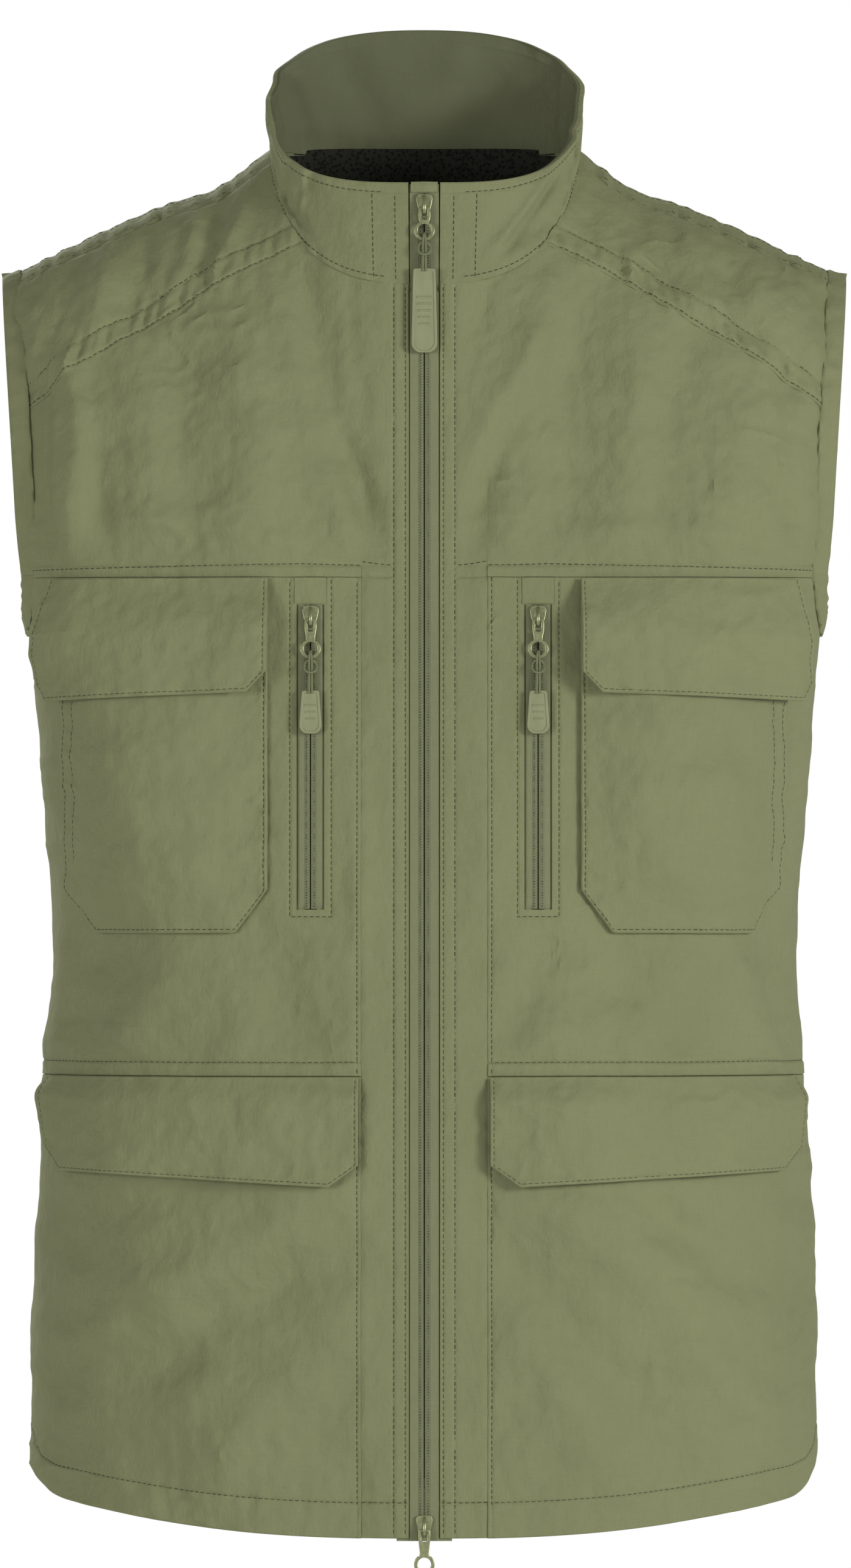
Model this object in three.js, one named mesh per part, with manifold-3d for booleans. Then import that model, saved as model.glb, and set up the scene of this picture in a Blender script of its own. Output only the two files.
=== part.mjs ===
// A sleeveless travel vest with a stand collar, a two-way front zip, bellows chest pockets, upright
// zipped pockets and wide flapped lower pockets, hanging as it does on a wearer.
// Millimetres, +X to the wearer's left, -Y to the front, +Z up. The origin is midway between the
// places where the vest rests on the shoulders beside the neck.
import * as THREE from 'three';
import { mergeVertices } from 'three/addons/utils/BufferGeometryUtils.js';
import Module from 'manifold-3d';

const wasm = await Module();
wasm.setup();

// ---- driving sizes -------------------------------------------------------------------------
// half widths of the body
const HIP_HALF = 199;
const WAIST_HALF = 189;
const UNDERARM_HALF = 201;
const SHOULDER_HALF = 216;
const NECK_HALF = 78;
// heights of the rows of panels
const LOWER_ROW = 233;
const MIDDLE_ROW = 252;
const YOKE_TO_NECK = 149;
const YOKE_TO_SIDE_NECK = 219;
const YOKE_TO_SHOULDER_TIP = 152;
const UNDERARM_DROP = 28;
const HEM_LIFT = 45;
// depths from the line through the side seams
const HEM_DEPTH = 130;
const COLLAR_DEPTH = 76;
const BACK_DEPTH = 112;
const CREST_DEPTH = 5;
const ARMHOLE_FRONT = 54;
const ARMHOLE_REAR = 62;
// collar
const COLLAR_FRONT = 51;
const COLLAR_BACK = 64;
const COLLAR_FLARE = 3;
// cloth
const CLOTH = 1.2;
const SEAM = 0.4;
const LAYER = 0.9;
const LINING_DEPTH = 8;
const BINDING_WIDTH = 8.5;
const BINDING_THICK = 2.4;
// front
const PLACKET_IN = 7.8;
const PLACKET_OUT = 32;
const SLIT_CENTRE = 57.5;
const SLIT_WIDTH = 14;
const SLIT_LENGTH = 168;
const CHEST_POCKET_IN = 79;
const CHEST_POCKET_SIDE = 7;
const CHEST_POCKET_DROP = 180;
const CHEST_BELLOWS = 8;
const CHEST_FLAP_DROP = 58;
const LOWER_FLAP_DROP = 56;
const FLAP_SIDE = 2;
const FLAP_OVER = 6;
const POCKET_MOUTH = 10;
const BAG_DEPTH = 15;
// zip hardware
const CHAIN_HALF = 3;
const CHAIN_THICK = 1.8;
const CHAIN_SUNK = 1;
const CHAIN_SPLIT = 0.55;
const TAPE_THICK = 0.5;
const SLIDER_LENGTH = 13;
const SLIDER_WIDTH = 8.5;
const PLATE = 1;
const PLATE_GAP = 0.6;
const WEB = 0.6;
const BAIL_REACH = 3.6;
const BAIL_BAR = 1.4;
const TAB_THICK = 1.2;
const RING_OUTER = 5.2;
const RING_HOLE = 3.4;
const CORD_RADIUS = 0.6;
const CORD_DROP = 15;
const FREE_GAP = 0.3;

// ---- heights and smooth outlines -------------------------------------------------------------
const waistZ = LOWER_ROW;
const yokeZ = waistZ + MIDDLE_ROW;
const neckZ = yokeZ + YOKE_TO_NECK;
const sideNeckZ = yokeZ + YOKE_TO_SIDE_NECK;
const tipZ = yokeZ + YOKE_TO_SHOULDER_TIP;
const underarmZ = yokeZ - UNDERARM_DROP;
const collarZ = neckZ + COLLAR_FRONT;
const domeZ = yokeZ + 35;
const bendZ = waistZ - 18;
const half = Math.PI / 2;

const clamp = (value, low, high) => Math.min(high, Math.max(low, value));
const lerp = (a, b, share) => a + (b - a) * share;

/** A smooth curve through [place, value] knots, level beyond its ends. */
function through(knots) {
  const last = knots.length - 1;
  const slopes = knots.map((knot, i) => {
    const before = knots[Math.max(i - 1, 0)];
    const after = knots[Math.min(i + 1, last)];
    return (after[1] - before[1]) / (after[0] - before[0]);
  });
  return (place) => {
    if (place <= knots[0][0]) return knots[0][1];
    if (place >= knots[last][0]) return knots[last][1];
    const i = knots.findIndex((knot) => knot[0] > place) - 1;
    const width = knots[i + 1][0] - knots[i][0];
    const s = (place - knots[i][0]) / width;
    const rise = s * s * (3 - 2 * s);
    const start = s * (1 - s) * (1 - s) * width * slopes[i];
    const end = s * s * (s - 1) * width * slopes[i + 1];
    return lerp(knots[i][1], knots[i + 1][1], rise) + start + end;
  };
}

const halfWidth = through([
  [0, HIP_HALF - 1], [waistZ / 2, HIP_HALF], [waistZ + 15, lerp(WAIST_HALF, HIP_HALF, 0.23)],
  [waistZ + 67, WAIST_HALF], [underarmZ - 17, UNDERARM_HALF - 1],
  [yokeZ + 15, lerp(UNDERARM_HALF, SHOULDER_HALF, 0.33)], [tipZ, SHOULDER_HALF],
]);
const squareness = through([[waistZ + 67, 2.5], [yokeZ, 3.5], [yokeZ + 75, 4]]);
const backDepth = through([
  [0, BACK_DEPTH + 6], [waistZ / 2, BACK_DEPTH + 6], [waistZ + 30, BACK_DEPTH - 12],
  [underarmZ, BACK_DEPTH], [yokeZ + 60, BACK_DEPTH], [sideNeckZ, BACK_DEPTH - 30],
]);
const crestZ = through([
  [0, sideNeckZ + 36], [NECK_HALF - 18, sideNeckZ + 12], [NECK_HALF, sideNeckZ],
  [lerp(NECK_HALF, SHOULDER_HALF, 0.2), sideNeckZ - 20],
  [lerp(NECK_HALF, SHOULDER_HALF, 0.42), lerp(sideNeckZ, tipZ, 0.45)],
  [lerp(NECK_HALF, SHOULDER_HALF, 0.86), lerp(sideNeckZ, tipZ, 0.88)], [SHOULDER_HALF, tipZ],
]);

/** The front's depth at its middle: a straight zip line above the bend, nearly upright below it. */
function frontDepth(z) {
  const lowerSlope = 0.02;
  const upperSlope = (HEM_DEPTH - lowerSlope * collarZ - COLLAR_DEPTH) / (collarZ - bendZ);
  const soft = 15;
  const past = clamp(z - bendZ, -soft, soft);
  const bent = (past + soft) ** 2 / (4 * soft) + Math.max(z - bendZ - soft, 0);
  return HEM_DEPTH - lowerSlope * z - upperSlope * bent;
}

/** How much of its depth the body keeps as it closes over the shoulder: 1 below, 0 on the crest. */
function domed(x, z) {
  const share = clamp((z - domeZ) / (crestZ(Math.abs(x)) - domeZ), 0, 1);
  return (1 - share ** 2.6) ** (1 / 2.2);
}

function frontY(x, z) {
  const n = squareness(z);
  const reach = frontDepth(z) * (1 - Math.min(Math.abs(x) / halfWidth(z), 1) ** n) ** (1 / n);
  const away = clamp((Math.abs(x) - 20) / (NECK_HALF - 20), 0, 1);
  const kept = 1 - away * away * (3 - 2 * away) * (1 - domed(x, z));
  return CREST_DEPTH - (CREST_DEPTH + reach) * kept;
}

function backY(x, z) {
  const n = squareness(z);
  const reach = backDepth(z) * (1 - Math.min(Math.abs(x) / halfWidth(z), 1) ** n) ** (1 / n);
  return CREST_DEPTH + (reach - CREST_DEPTH) * domed(x, z);
}

/** The body's ring at height z, for angles from 0 at the front to PI at the back. */
function ring(angle, z) {
  const power = 2 / squareness(z);
  const x = halfWidth(z) * Math.sin(angle) ** power;
  const cosine = Math.cos(angle);
  const depth = cosine >= 0 ? -frontDepth(z) : backDepth(z);
  return new THREE.Vector3(x, depth * Math.abs(cosine) ** power, z);
}

/** The ring's angle where the front or back is x from the middle. */
const angleOfX = (x, z) => Math.asin(Math.min(x / halfWidth(z), 1) ** (squareness(z) / 2));
const angleOfY = (y, depth, z) => Math.acos(Math.min(y / depth, 1) ** (squareness(z) / 2));

const armholeX = (z) => lerp(UNDERARM_HALF - 4, SHOULDER_HALF - 10, (z - yokeZ) / (tipZ - yokeZ));
const armholeRise = 43;

/** The armhole's edge below the yoke seam: how far it is from the side seam's line. */
function armholeReach(z, most) {
  const drop = clamp((underarmZ + armholeRise - z) / armholeRise, 0, 1);
  return most * (1 - drop ** 2.3) ** 0.435;
}

function sideAngle(z, depth) {
  return z <= underarmZ ? half : angleOfY(armholeReach(z, ARMHOLE_FRONT), depth, z);
}

/** The height of the hem, level in front and drawn up to the side seams. */
function hemZ(x) {
  const out = Math.abs(x);
  const corner = Math.max(0, out - HIP_HALF + 29) / 30;
  return 13.4 * (out / 160) ** 2.5 + (HEM_LIFT - 21) * Math.min(corner, 1.1) ** 6;
}

// ---- materials --------------------------------------------------------------------------------
const cloth = new THREE.MeshStandardMaterial({ color: 0x7e835f, roughness: 0.9, metalness: 0 });
const darkCloth = new THREE.MeshStandardMaterial({ color: 0x2a2b22, roughness: 0.95, metalness: 0 });
const rubber = new THREE.MeshStandardMaterial({ color: 0x8c9069, roughness: 0.6, metalness: 0 });
const metal = new THREE.MeshStandardMaterial({ color: 0xa5a882, roughness: 0.4, metalness: 0.8 });
const nylon = new THREE.MeshStandardMaterial({ color: 0x767a58, roughness: 0.7, metalness: 0 });

// ---- thin cloth pieces ------------------------------------------------------------------------
const heart = new THREE.Vector3(0, 0, yokeZ - 85);

/**
 * A closed thin piece over a grid. at(column, row) is its surface, and layer(column, row) its inner
 * and outer distance from that surface. keep says which cells of the grid are cloth.
 */
function sheet(columns, rows, at, layer, keep = () => true) {
  const step = 1e-3;
  const positions = [];
  for (const side of [0, 1]) {
    for (const v of rows) {
      for (const u of columns) {
        const here = at(u, v);
        const along = at(u + step, v).sub(at(u - step, v));
        const up = at(u, v + step).sub(at(u, v - step));
        const normal = along.cross(up).normalize();
        if (normal.dot(here.clone().sub(heart)) < 0) normal.negate();
        positions.push(...here.addScaledVector(normal, layer(u, v)[side]).toArray());
      }
    }
  }
  const wide = columns.length;
  const count = wide * rows.length;
  const index = [];
  const kept = (i, j) => i >= 0 && j >= 0 && i < wide - 1 && j < rows.length - 1 && keep(i, j);
  const quad = (a, b, c, d) => index.push(a, b, c, a, c, d);
  for (let j = 0; j < rows.length - 1; j += 1) {
    for (let i = 0; i < wide - 1; i += 1) {
      if (!kept(i, j)) continue;
      const a = j * wide + i;
      const [b, c, d] = [a + 1, a + wide + 1, a + wide];
      quad(a, d, c, b);
      quad(a + count, b + count, c + count, d + count);
      if (!kept(i, j - 1)) quad(a, b, b + count, a + count);
      if (!kept(i + 1, j)) quad(b, c, c + count, b + count);
      if (!kept(i, j + 1)) quad(c, d, d + count, c + count);
      if (!kept(i - 1, j)) quad(d, a, a + count, d + count);
    }
  }
  const geometry = new THREE.BufferGeometry();
  geometry.setAttribute('position', new THREE.Float32BufferAttribute(positions, 3));
  geometry.setIndex(index);
  return facingOut(geometry);
}

/** The same geometry with its faces turned out. */
function facingOut(geometry) {
  const index = geometry.index.array;
  const corner = (k) => new THREE.Vector3().fromBufferAttribute(geometry.attributes.position, k);
  let volume = 0;
  for (let k = 0; k < index.length; k += 3) {
    volume += corner(index[k]).dot(corner(index[k + 1]).cross(corner(index[k + 2])));
  }
  if (volume < 0) {
    for (let k = 0; k < index.length; k += 3) {
      [index[k], index[k + 1]] = [index[k + 1], index[k]];
    }
  }
  return geometry;
}

/** The mirror image of a left piece, for the right side. */
function mirrored(geometry) {
  const copy = geometry.clone();
  copy.applyMatrix4(new THREE.Matrix4().makeScale(-1, 1, 1));
  return facingOut(copy);
}

const vest = new THREE.Group();
const frame = new THREE.Group();
frame.position.set(0, 0, -sideNeckZ);
vest.add(frame);

function add(name, geometry, material, parent = frame) {
  const mesh = new THREE.Mesh(geometry, material);
  mesh.name = name;
  parent.add(mesh);
  return mesh;
}

/** A left piece and its mirror image on the right. */
function addPair(name, geometry, material) {
  add(`${name}_left`, geometry, material);
  add(`${name}_right`, mirrored(geometry), material);
}

const even = (from, to, cells) => Array.from({ length: cells + 1 }, (_, i) => lerp(from, to, i / cells));
const flat = (inner, outer) => () => [inner, outer];
const panel = flat(-CLOTH, 0);

// ---- front panels -----------------------------------------------------------------------------
// Columns up to 2 are places across the front: 0 to 1 from the placket to the far side of the
// chest pocket's flat front, and 1 to 2 round to the side seam or the armhole.
const frontEnd = WAIST_HALF - 21;
const slitIn = SLIT_CENTRE - SLIT_WIDTH / 2;
const slitOut = SLIT_CENTRE + SLIT_WIDTH / 2;
const column = (x) => (x - PLACKET_OUT) / (frontEnd - PLACKET_OUT);
const placketEdge = PLACKET_OUT + SEAM;
const pocketWide = WAIST_HALF - CHEST_POCKET_SIDE - CHEST_POCKET_IN;
const pocketX = (u) => CHEST_POCKET_IN + pocketWide * u;
const coverColumns = [column(placketEdge), column(slitIn), column(slitOut), column(CHEST_POCKET_IN),
  column(pocketX(0.35)), column(pocketX(0.65)), 1];
const frontColumns = [...coverColumns, 1.3, 1.6, 1.85, 2 - SEAM / 60];

function frontPoint(u, z, depth = frontDepth(z)) {
  const x = lerp(PLACKET_OUT, frontEnd, Math.min(u, 1));
  const angle = lerp(angleOfX(x, z), sideAngle(z, depth), Math.max(u - 1, 0));
  return ring(angle, z);
}

const lowerTop = waistZ - SEAM;
const flapIn = PLACKET_OUT + 1;
const lowerRows = [0, 0.22, 0.5, 0.78, (lowerTop - POCKET_MOUTH) / lowerTop, 1];
const lowerPoint = (u, v) => {
  const low = hemZ(frontPoint(u, waistZ / 6).x);
  return frontPoint(u, lerp(low, lowerTop, v));
};
const underMouth = (i, j) => j === lowerRows.length - 2 && i > 0 && i < frontColumns.length - 4;
addPair('front_lower', sheet(frontColumns, lowerRows, lowerPoint, panel, (i, j) => !underMouth(i, j)), cloth);

const slitFoot = yokeZ - SLIT_LENGTH;
const middleRows = [waistZ, lerp(waistZ, slitFoot, 0.5), slitFoot, lerp(slitFoot, underarmZ, 0.4),
  lerp(slitFoot, underarmZ, 0.75), underarmZ, underarmZ + 2, underarmZ + 5, underarmZ + 12, yokeZ - SEAM];
const inSlit = (i, j) => i === 1 && j >= 2;
const middlePanel = sheet(frontColumns, middleRows, (u, z) => frontPoint(u, z), panel, (i, j) => !inSlit(i, j));
addPair('front_middle', middlePanel, cloth);

/** The neck seam: its angle is 0 in front and PI at the back. */
function neckZAt(angle) {
  if (angle > half) return sideNeckZ + 2 * Math.cos(angle);
  return neckZ + (sideNeckZ - neckZ) * (1 - Math.cos(angle)) ** 1.1;
}
const neckX = (angle) => NECK_HALF * Math.sin(Math.min(angle, Math.PI - angle)) ** 0.8;
const neckAngle = (x) => Math.asin(Math.min(x / NECK_HALF, 1) ** 1.25);
const neckFrontZ = (x) => neckZAt(neckAngle(x));

// the seam between the chest and the shoulder panel, from the neck to the armhole
const seamNeckX = 62;
const frontSeamZ = through([
  [seamNeckX, neckFrontZ(seamNeckX) - 5 * SEAM], [100, yokeZ + 149], [133, yokeZ + 131], [161, yokeZ + 115],
  [188, yokeZ + 98], [SHOULDER_HALF - 12, yokeZ + 84],
]);
const rearSeamDrop = 7.5;
const chestTopZ = (x) => (x < seamNeckX ? neckFrontZ(x) : frontSeamZ(x)) - SEAM;

/** A point of the chest: u is the share of the way to the armhole, v from the yoke seam up. */
function chestX(u, v) {
  const outer = armholeX(lerp(yokeZ, frontSeamZ(SHOULDER_HALF), v));
  return lerp(placketEdge, outer, u);
}
const seamEndX = armholeX(frontSeamZ(SHOULDER_HALF));
const seamColumns = even(seamNeckX, seamEndX, 5).map((x) => (x - placketEdge) / (seamEndX - placketEdge));
const chestColumns = [0, 0.09, ...seamColumns];
function chestPoint(u, v) {
  const x = chestX(u, v);
  const z = lerp(yokeZ, chestTopZ(x), v);
  return new THREE.Vector3(x, frontY(x, z), z);
}
addPair('front_chest', sheet(chestColumns, even(0, 1, 5), chestPoint, panel), cloth);

const shoulderTopZ = (x) => crestZ(x) - rearSeamDrop;
function shoulderPoint(u, v) {
  const low = new THREE.Vector2(lerp(seamNeckX, seamEndX, u), 0);
  low.y = frontSeamZ(low.x) + 2 * SEAM;
  const high = new THREE.Vector2(lerp(NECK_HALF + 2 * SEAM, armholeX(tipZ), u), 0);
  high.y = shoulderTopZ(high.x) - SEAM;
  const x = lerp(low.x, high.x, Math.max(v, 0) ** 0.7);
  const z = lerp(low.y, high.y, v);
  const neckSide = neckFrontZ(Math.min(x, NECK_HALF)) - SEAM;
  const cut = x < NECK_HALF ? Math.min(z, neckSide) : z;
  return new THREE.Vector3(x, frontY(x, cut), cut);
}
addPair('shoulder_panel', sheet(even(0, 1, 5), [0, 0.25, 0.5, 0.7, 0.85, 0.94, 1], shoulderPoint, panel), cloth);

// ---- back -------------------------------------------------------------------------------------
const backSeamZ = yokeZ;
/** A point over the shoulder: v is 0 at the rear shoulder seam, 1 on the crest, 2 at the yoke seam. */
function yokePoint(x, v) {
  const out = Math.abs(x);
  const top = out < NECK_HALF ? neckZAt(Math.PI - neckAngle(out)) : crestZ(out);
  if (v < 1) {
    const z = top - rearSeamDrop * (1 - v) ** 2;
    return new THREE.Vector3(x, out < NECK_HALF ? backY(x, top - 1) - 6 * (1 - v) : frontY(x, z), z);
  }
  const z = top - (top - backSeamZ - SEAM) * (v - 1) ** 2;
  return new THREE.Vector3(x, backY(x, z), z);
}
const yokeX = (u, v) => {
  const z = v < 1 ? tipZ : lerp(tipZ, backSeamZ, (v - 1) ** 2);
  return u * (armholeX(z));
};
const yokeColumns = [-1, -0.9, -0.76, -0.6, -0.47, -0.39, -0.2, 0, 0.2, 0.39, 0.47, 0.6, 0.76, 0.9, 1];
const neckShare = NECK_HALF / armholeX(tipZ);
const yokeRows = [0, 0.5, 1, 1.12, 1.26, 1.42, 1.6, 1.8, 2];
const overNeck = (i, j) => j < 2 && Math.abs(yokeColumns[i] + yokeColumns[i + 1]) / 2 < neckShare + 0.02;
const yokeSurface = (u, v) => yokePoint(yokeX(u, v), v);
add('back_yoke', sheet(yokeColumns, yokeRows, yokeSurface, panel, (i, j) => !overNeck(i, j)), cloth);

const backColumns = even(-1, 1, 14);
function backPoint(u, v) {
  const low = hemZ(halfWidth(0) * Math.abs(Math.sin(u * half)) ** 0.8);
  const z = lerp(low, backSeamZ - SEAM, v);
  const side = z <= underarmZ ? half : angleOfY(armholeReach(z, ARMHOLE_REAR), backDepth(z), z);
  const angle = Math.PI - Math.abs(u) * (side - SEAM / 100);
  const point = ring(angle, z);
  point.x *= Math.sign(u) || 1;
  return point;
}
const backRows = [0, 0.12, 0.3, 0.5, 0.7, 0.86, underarmZ / yokeZ, (underarmZ + 2) / yokeZ,
  (underarmZ + 5) / yokeZ, (underarmZ + 12) / yokeZ, 1];
add('back_panel', sheet(backColumns, backRows, backPoint, panel), cloth);

// ---- plackets, collar, bindings ---------------------------------------------------------------
const placketRows = [0, (bendZ - 15) / neckZ, bendZ / neckZ, (bendZ + 15) / neckZ, 0.6, 0.8, 1];
function placketPoint(u, v) {
  const x = lerp(PLACKET_IN, PLACKET_OUT, u);
  const z = lerp(hemZ(x) + 0.2, neckFrontZ(x) - SEAM, v);
  return new THREE.Vector3(x, frontY(x, z), z);
}
addPair('placket', sheet([0, 1], placketRows, placketPoint, panel), cloth);

const collarTopZ = (angle) => (angle > half
  ? collarZ + 45 + (COLLAR_BACK + sideNeckZ - 2 - collarZ - 45) * -Math.cos(angle)
  : collarZ + 45 * (1 - Math.cos(angle)) ** 1.4);

/** A point of the stand collar: angle runs from -PI to PI with 0 in front, v from seam to edge. */
function collarPoint(angle, v) {
  const turn = Math.abs(angle);
  const side = Math.sign(angle) || 1;
  const low = neckX(turn);
  const front = turn <= half;
  const lowZ = neckZAt(turn);
  const lowY = front ? frontY(low, lowZ) : lerp(CREST_DEPTH, backY(0, sideNeckZ - 2), (-Math.cos(turn)) ** 0.8);
  const highY = front
    ? lerp(CREST_DEPTH, -COLLAR_DEPTH, Math.cos(turn) ** 0.8)
    : lerp(CREST_DEPTH, backY(0, sideNeckZ - 2) - 6, (-Math.cos(turn)) ** 0.8);
  const high = low * (1 + COLLAR_FLARE / NECK_HALF);
  const z = lerp(lowZ, collarTopZ(turn), v);
  return new THREE.Vector3(side * lerp(low, high, v), lerp(lowY, highY, v), z);
}
const collarStart = neckAngle(PLACKET_IN);
const collarTurn = (u) => lerp(collarStart, 2 * Math.PI - collarStart, u);
const collarSurface = (u, v) => {
  const angle = collarTurn(u);
  return collarPoint(angle > Math.PI ? angle - 2 * Math.PI : angle, v);
};
const collarColumns = even(0, 1, 21);
add('collar_outer', sheet(collarColumns, [0.03, 0.5, 1], collarSurface, panel), cloth);
add('collar_facing', sheet(collarColumns, [0.04, 0.5, 0.98], collarSurface, flat(-3.2, -CLOTH - LAYER)), cloth);

/** The armhole's edge on the left, from the underarm up the front and down the back. */
function armholePoint(turn) {
  const rear = turn > Math.PI;
  const share = (1 - Math.cos(turn)) / 2;
  const z = lerp(underarmZ, crestZ(armholeX(tipZ)), share);
  if (z < underarmZ + armholeRise * 0.65) {
    const y = armholeReach(z, rear ? ARMHOLE_REAR : ARMHOLE_FRONT);
    return ring(rear ? Math.PI - angleOfY(y, backDepth(z), z) : angleOfY(y, frontDepth(z), z), z);
  }
  const x = armholeX(z);
  return new THREE.Vector3(x, rear ? backY(x, z) : frontY(x, z), z);
}
const armholeMiddle = new THREE.Vector3(armholeX(tipZ), 0, lerp(underarmZ, tipZ, 0.5));
function bindingRing() {
  const steps = 26;
  const positions = [];
  const index = [];
  for (let k = 0; k < steps; k += 1) {
    const turn = ((k + 0.5) / steps) * 2 * Math.PI;
    const here = armholePoint(turn);
    const along = armholePoint(turn + 0.02).sub(armholePoint(turn - 0.02)).normalize();
    const inward = armholeMiddle.clone().sub(here).setX(0).normalize();
    const low = clamp((underarmZ + 60 - here.z) / 60, 0, 1);
    const wide = new THREE.Vector3(lerp(0.95, 0.25, low), 0, 0).addScaledVector(inward, lerp(0.35, 0.95, low));
    wide.addScaledVector(along, -wide.dot(along)).normalize();
    const thick = wide.clone().cross(along).normalize();
    for (const [w, t] of [[0, -0.5], [1, -0.5], [1, 0.5], [0, 0.5]]) {
      const corner = here.clone().addScaledVector(wide, SEAM + lerp(0.8, 1.6, low) + w * BINDING_WIDTH);
      positions.push(...corner.addScaledVector(thick, t * BINDING_THICK).toArray());
    }
    for (let c = 0; c < 4; c += 1) {
      const [a, b] = [k * 4 + c, k * 4 + ((c + 1) % 4)];
      const [d, e] = [((k + 1) % steps) * 4 + c, ((k + 1) % steps) * 4 + ((c + 1) % 4)];
      index.push(a, b, e, a, e, d);
    }
  }
  const geometry = new THREE.BufferGeometry();
  geometry.setAttribute('position', new THREE.Float32BufferAttribute(positions, 3));
  geometry.setIndex(index);
  return facingOut(geometry);
}
addPair('armhole_binding', bindingRing(), cloth);

// ---- linings and pocket bags -------------------------------------------------------------------
const lining = flat(-LINING_DEPTH - 0.8, -LINING_DEPTH);
const liningBack = (u, v) => {
  const z = lerp(hemZ(150) + 12, sideNeckZ - 22, v);
  const x = u * (NECK_HALF - 6 + (halfWidth(z) - NECK_HALF - 6) * clamp((tipZ - 60 - z) / 60, 0, 1) - 8);
  return new THREE.Vector3(x, backY(x, z), z);
};
add('mesh_lining_back', sheet(even(-1, 1, 10), [0, 0.2, 0.4, 0.6, 0.75, 0.82, 0.9, 1], liningBack, lining), darkCloth);
const deeper = BAG_DEPTH + CLOTH + 1.4;
const liningFront = (u, v) => frontPoint(u, lerp(hemZ(150) + 22, yokeZ - 35, v));
const bagged = flat(-deeper - LAYER - 0.8, -deeper - LAYER);
const liningColumns = [column(placketEdge + 6), 0.3, 0.6, 1, 1.3];
addPair('mesh_lining', sheet(liningColumns, even(0, 1, 5), liningFront, bagged), darkCloth);

const bagRows = [0, 0.1, 0.35, 0.65, 1];
const bagColumns = coverColumns;
const bagPoint = (u, v) => frontPoint(u, lerp(40, waistZ - SEAM - 3, v));
function bagLayer(u, v) {
  const sides = clamp(Math.min((u - bagColumns[0]) / 0.08, (1 - u) / 0.2), 0, 1);
  const foot = clamp(v / 0.1, 0, 1);
  const deep = lerp(CLOTH + LAYER, BAG_DEPTH, Math.min(sides, foot));
  return [-deep - 0.8, -deep];
}
addPair('lower_pocket_bag', sheet(bagColumns, bagRows, bagPoint, bagLayer), darkCloth);

const zipBagColumns = [column(slitIn - 9), column(slitIn - 4), column(slitOut + 4), column(slitOut + 9)];
const zipBagPoint = (u, v) => frontPoint(u, lerp(slitFoot - 12, yokeZ - 8, v));
function zipBagLayer(u, v) {
  const sides = u > zipBagColumns[0] + 0.01 && u < zipBagColumns[3] - 0.01;
  const deep = sides && v > 0.01 && v < 0.99 ? 9 : CLOTH + TAPE_THICK + 2.6;
  return [-deep - 0.8, -deep];
}
addPair('zip_pocket_bag', sheet(zipBagColumns, [0, 0.08, 0.5, 0.92, 1], zipBagPoint, zipBagLayer), darkCloth);

// ---- chest pockets ----------------------------------------------------------------------------
const pocketTop = yokeZ - 12;
const pocketFoot = yokeZ - CHEST_POCKET_DROP;
const pocketBottomZ = (u) => pocketFoot + 22 * clamp((0.16 - u) / 0.16, 0, 1) + 24 * clamp((u - 0.84) / 0.16, 0, 1);
function pocketPoint(u, v) {
  const x = pocketX(u);
  const z = lerp(pocketBottomZ(u), pocketTop, v);
  return new THREE.Vector3(x, frontY(x, z), z);
}
function pocketLayer(u, v) {
  const sides = clamp(Math.min(u, 1 - u) / 0.05, 0, 1);
  const foot = clamp(v / 0.06, 0, 1);
  const out = lerp(1.4 * LAYER, CHEST_BELLOWS, Math.min(sides, foot));
  return [out, out + CLOTH];
}
const pocketColumns = [0, 0.05, 0.16, 0.35, 0.65, 0.84, 0.95, 1];
addPair('chest_pocket', sheet(pocketColumns, [0, 0.06, 0.35, 0.7, 1], pocketPoint, pocketLayer), cloth);

// ---- flaps, with their hook patches, and the loop patches facing them ---------------------------
/** A flap on the body: from x inner to outer, hanging from top by drop, with cut lower corners. */
function flapPiece(inner, outer, top, drop, rise, layer) {
  const cut = (u) => Math.max(clamp((0.1 - u) / 0.1, 0, 1), clamp((u - 0.9) / 0.1, 0, 1));
  const point = (u, v) => {
    const x = lerp(inner, outer, u);
    const foot = top - drop + rise * u + (drop / 3.6) * cut(u);
    const z = lerp(top, foot, v);
    return new THREE.Vector3(x, frontY(x, z), z);
  };
  return sheet(flapColumns, [0, 0.12, 0.55, 1], point, layer);
}
const flapColumns = [0, 0.1, 0.16, 0.35, 0.65, 0.84, 0.9, 1];
const patchColumns = flapColumns.slice(2, 6);
/** A hook or loop patch on the same columns as its flap. */
function patchPiece(inner, outer, high, low, layer) {
  const point = (x, z) => new THREE.Vector3(x, frontY(x, z), z);
  return sheet(patchColumns.map((u) => lerp(inner, outer, u)), [low, high], point, layer);
}
const PATCH = 0.7;
const PATCH_GAP = 0.6;
function addFlap(name, inner, outer, size, ground, lift) {
  const top = size.top - 1;
  const patch = (from) => patchPiece(inner, outer, top - size.patchTop, top - size.patchFoot, flat(from, from + PATCH));
  addPair(`${name}_flap`, flapPiece(inner, outer, top, size.drop, size.rise, flat(lift, lift + CLOTH)), cloth);
  addPair(`${name}_loop_patch`, patch(ground), darkCloth);
  addPair(`${name}_hook_patch`, patch(lift - PATCH_GAP - PATCH), darkCloth);
}
const chestFront = CHEST_BELLOWS + CLOTH;
addFlap('chest', pocketX(0), pocketX(1) + FLAP_OVER, { top: yokeZ, drop: CHEST_FLAP_DROP, rise: -3, patchTop: 29, patchFoot: 45 },
  chestFront + PATCH_GAP, chestFront + 3 * PATCH_GAP + 2 * PATCH);
addFlap('lower', flapIn, WAIST_HALF + 3 - FLAP_SIDE, { top: waistZ, drop: LOWER_FLAP_DROP, rise: 9, patchTop: 22, patchFoot: 38 },
  2 * LAYER, 2 * (LAYER + PATCH + PATCH_GAP));

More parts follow.
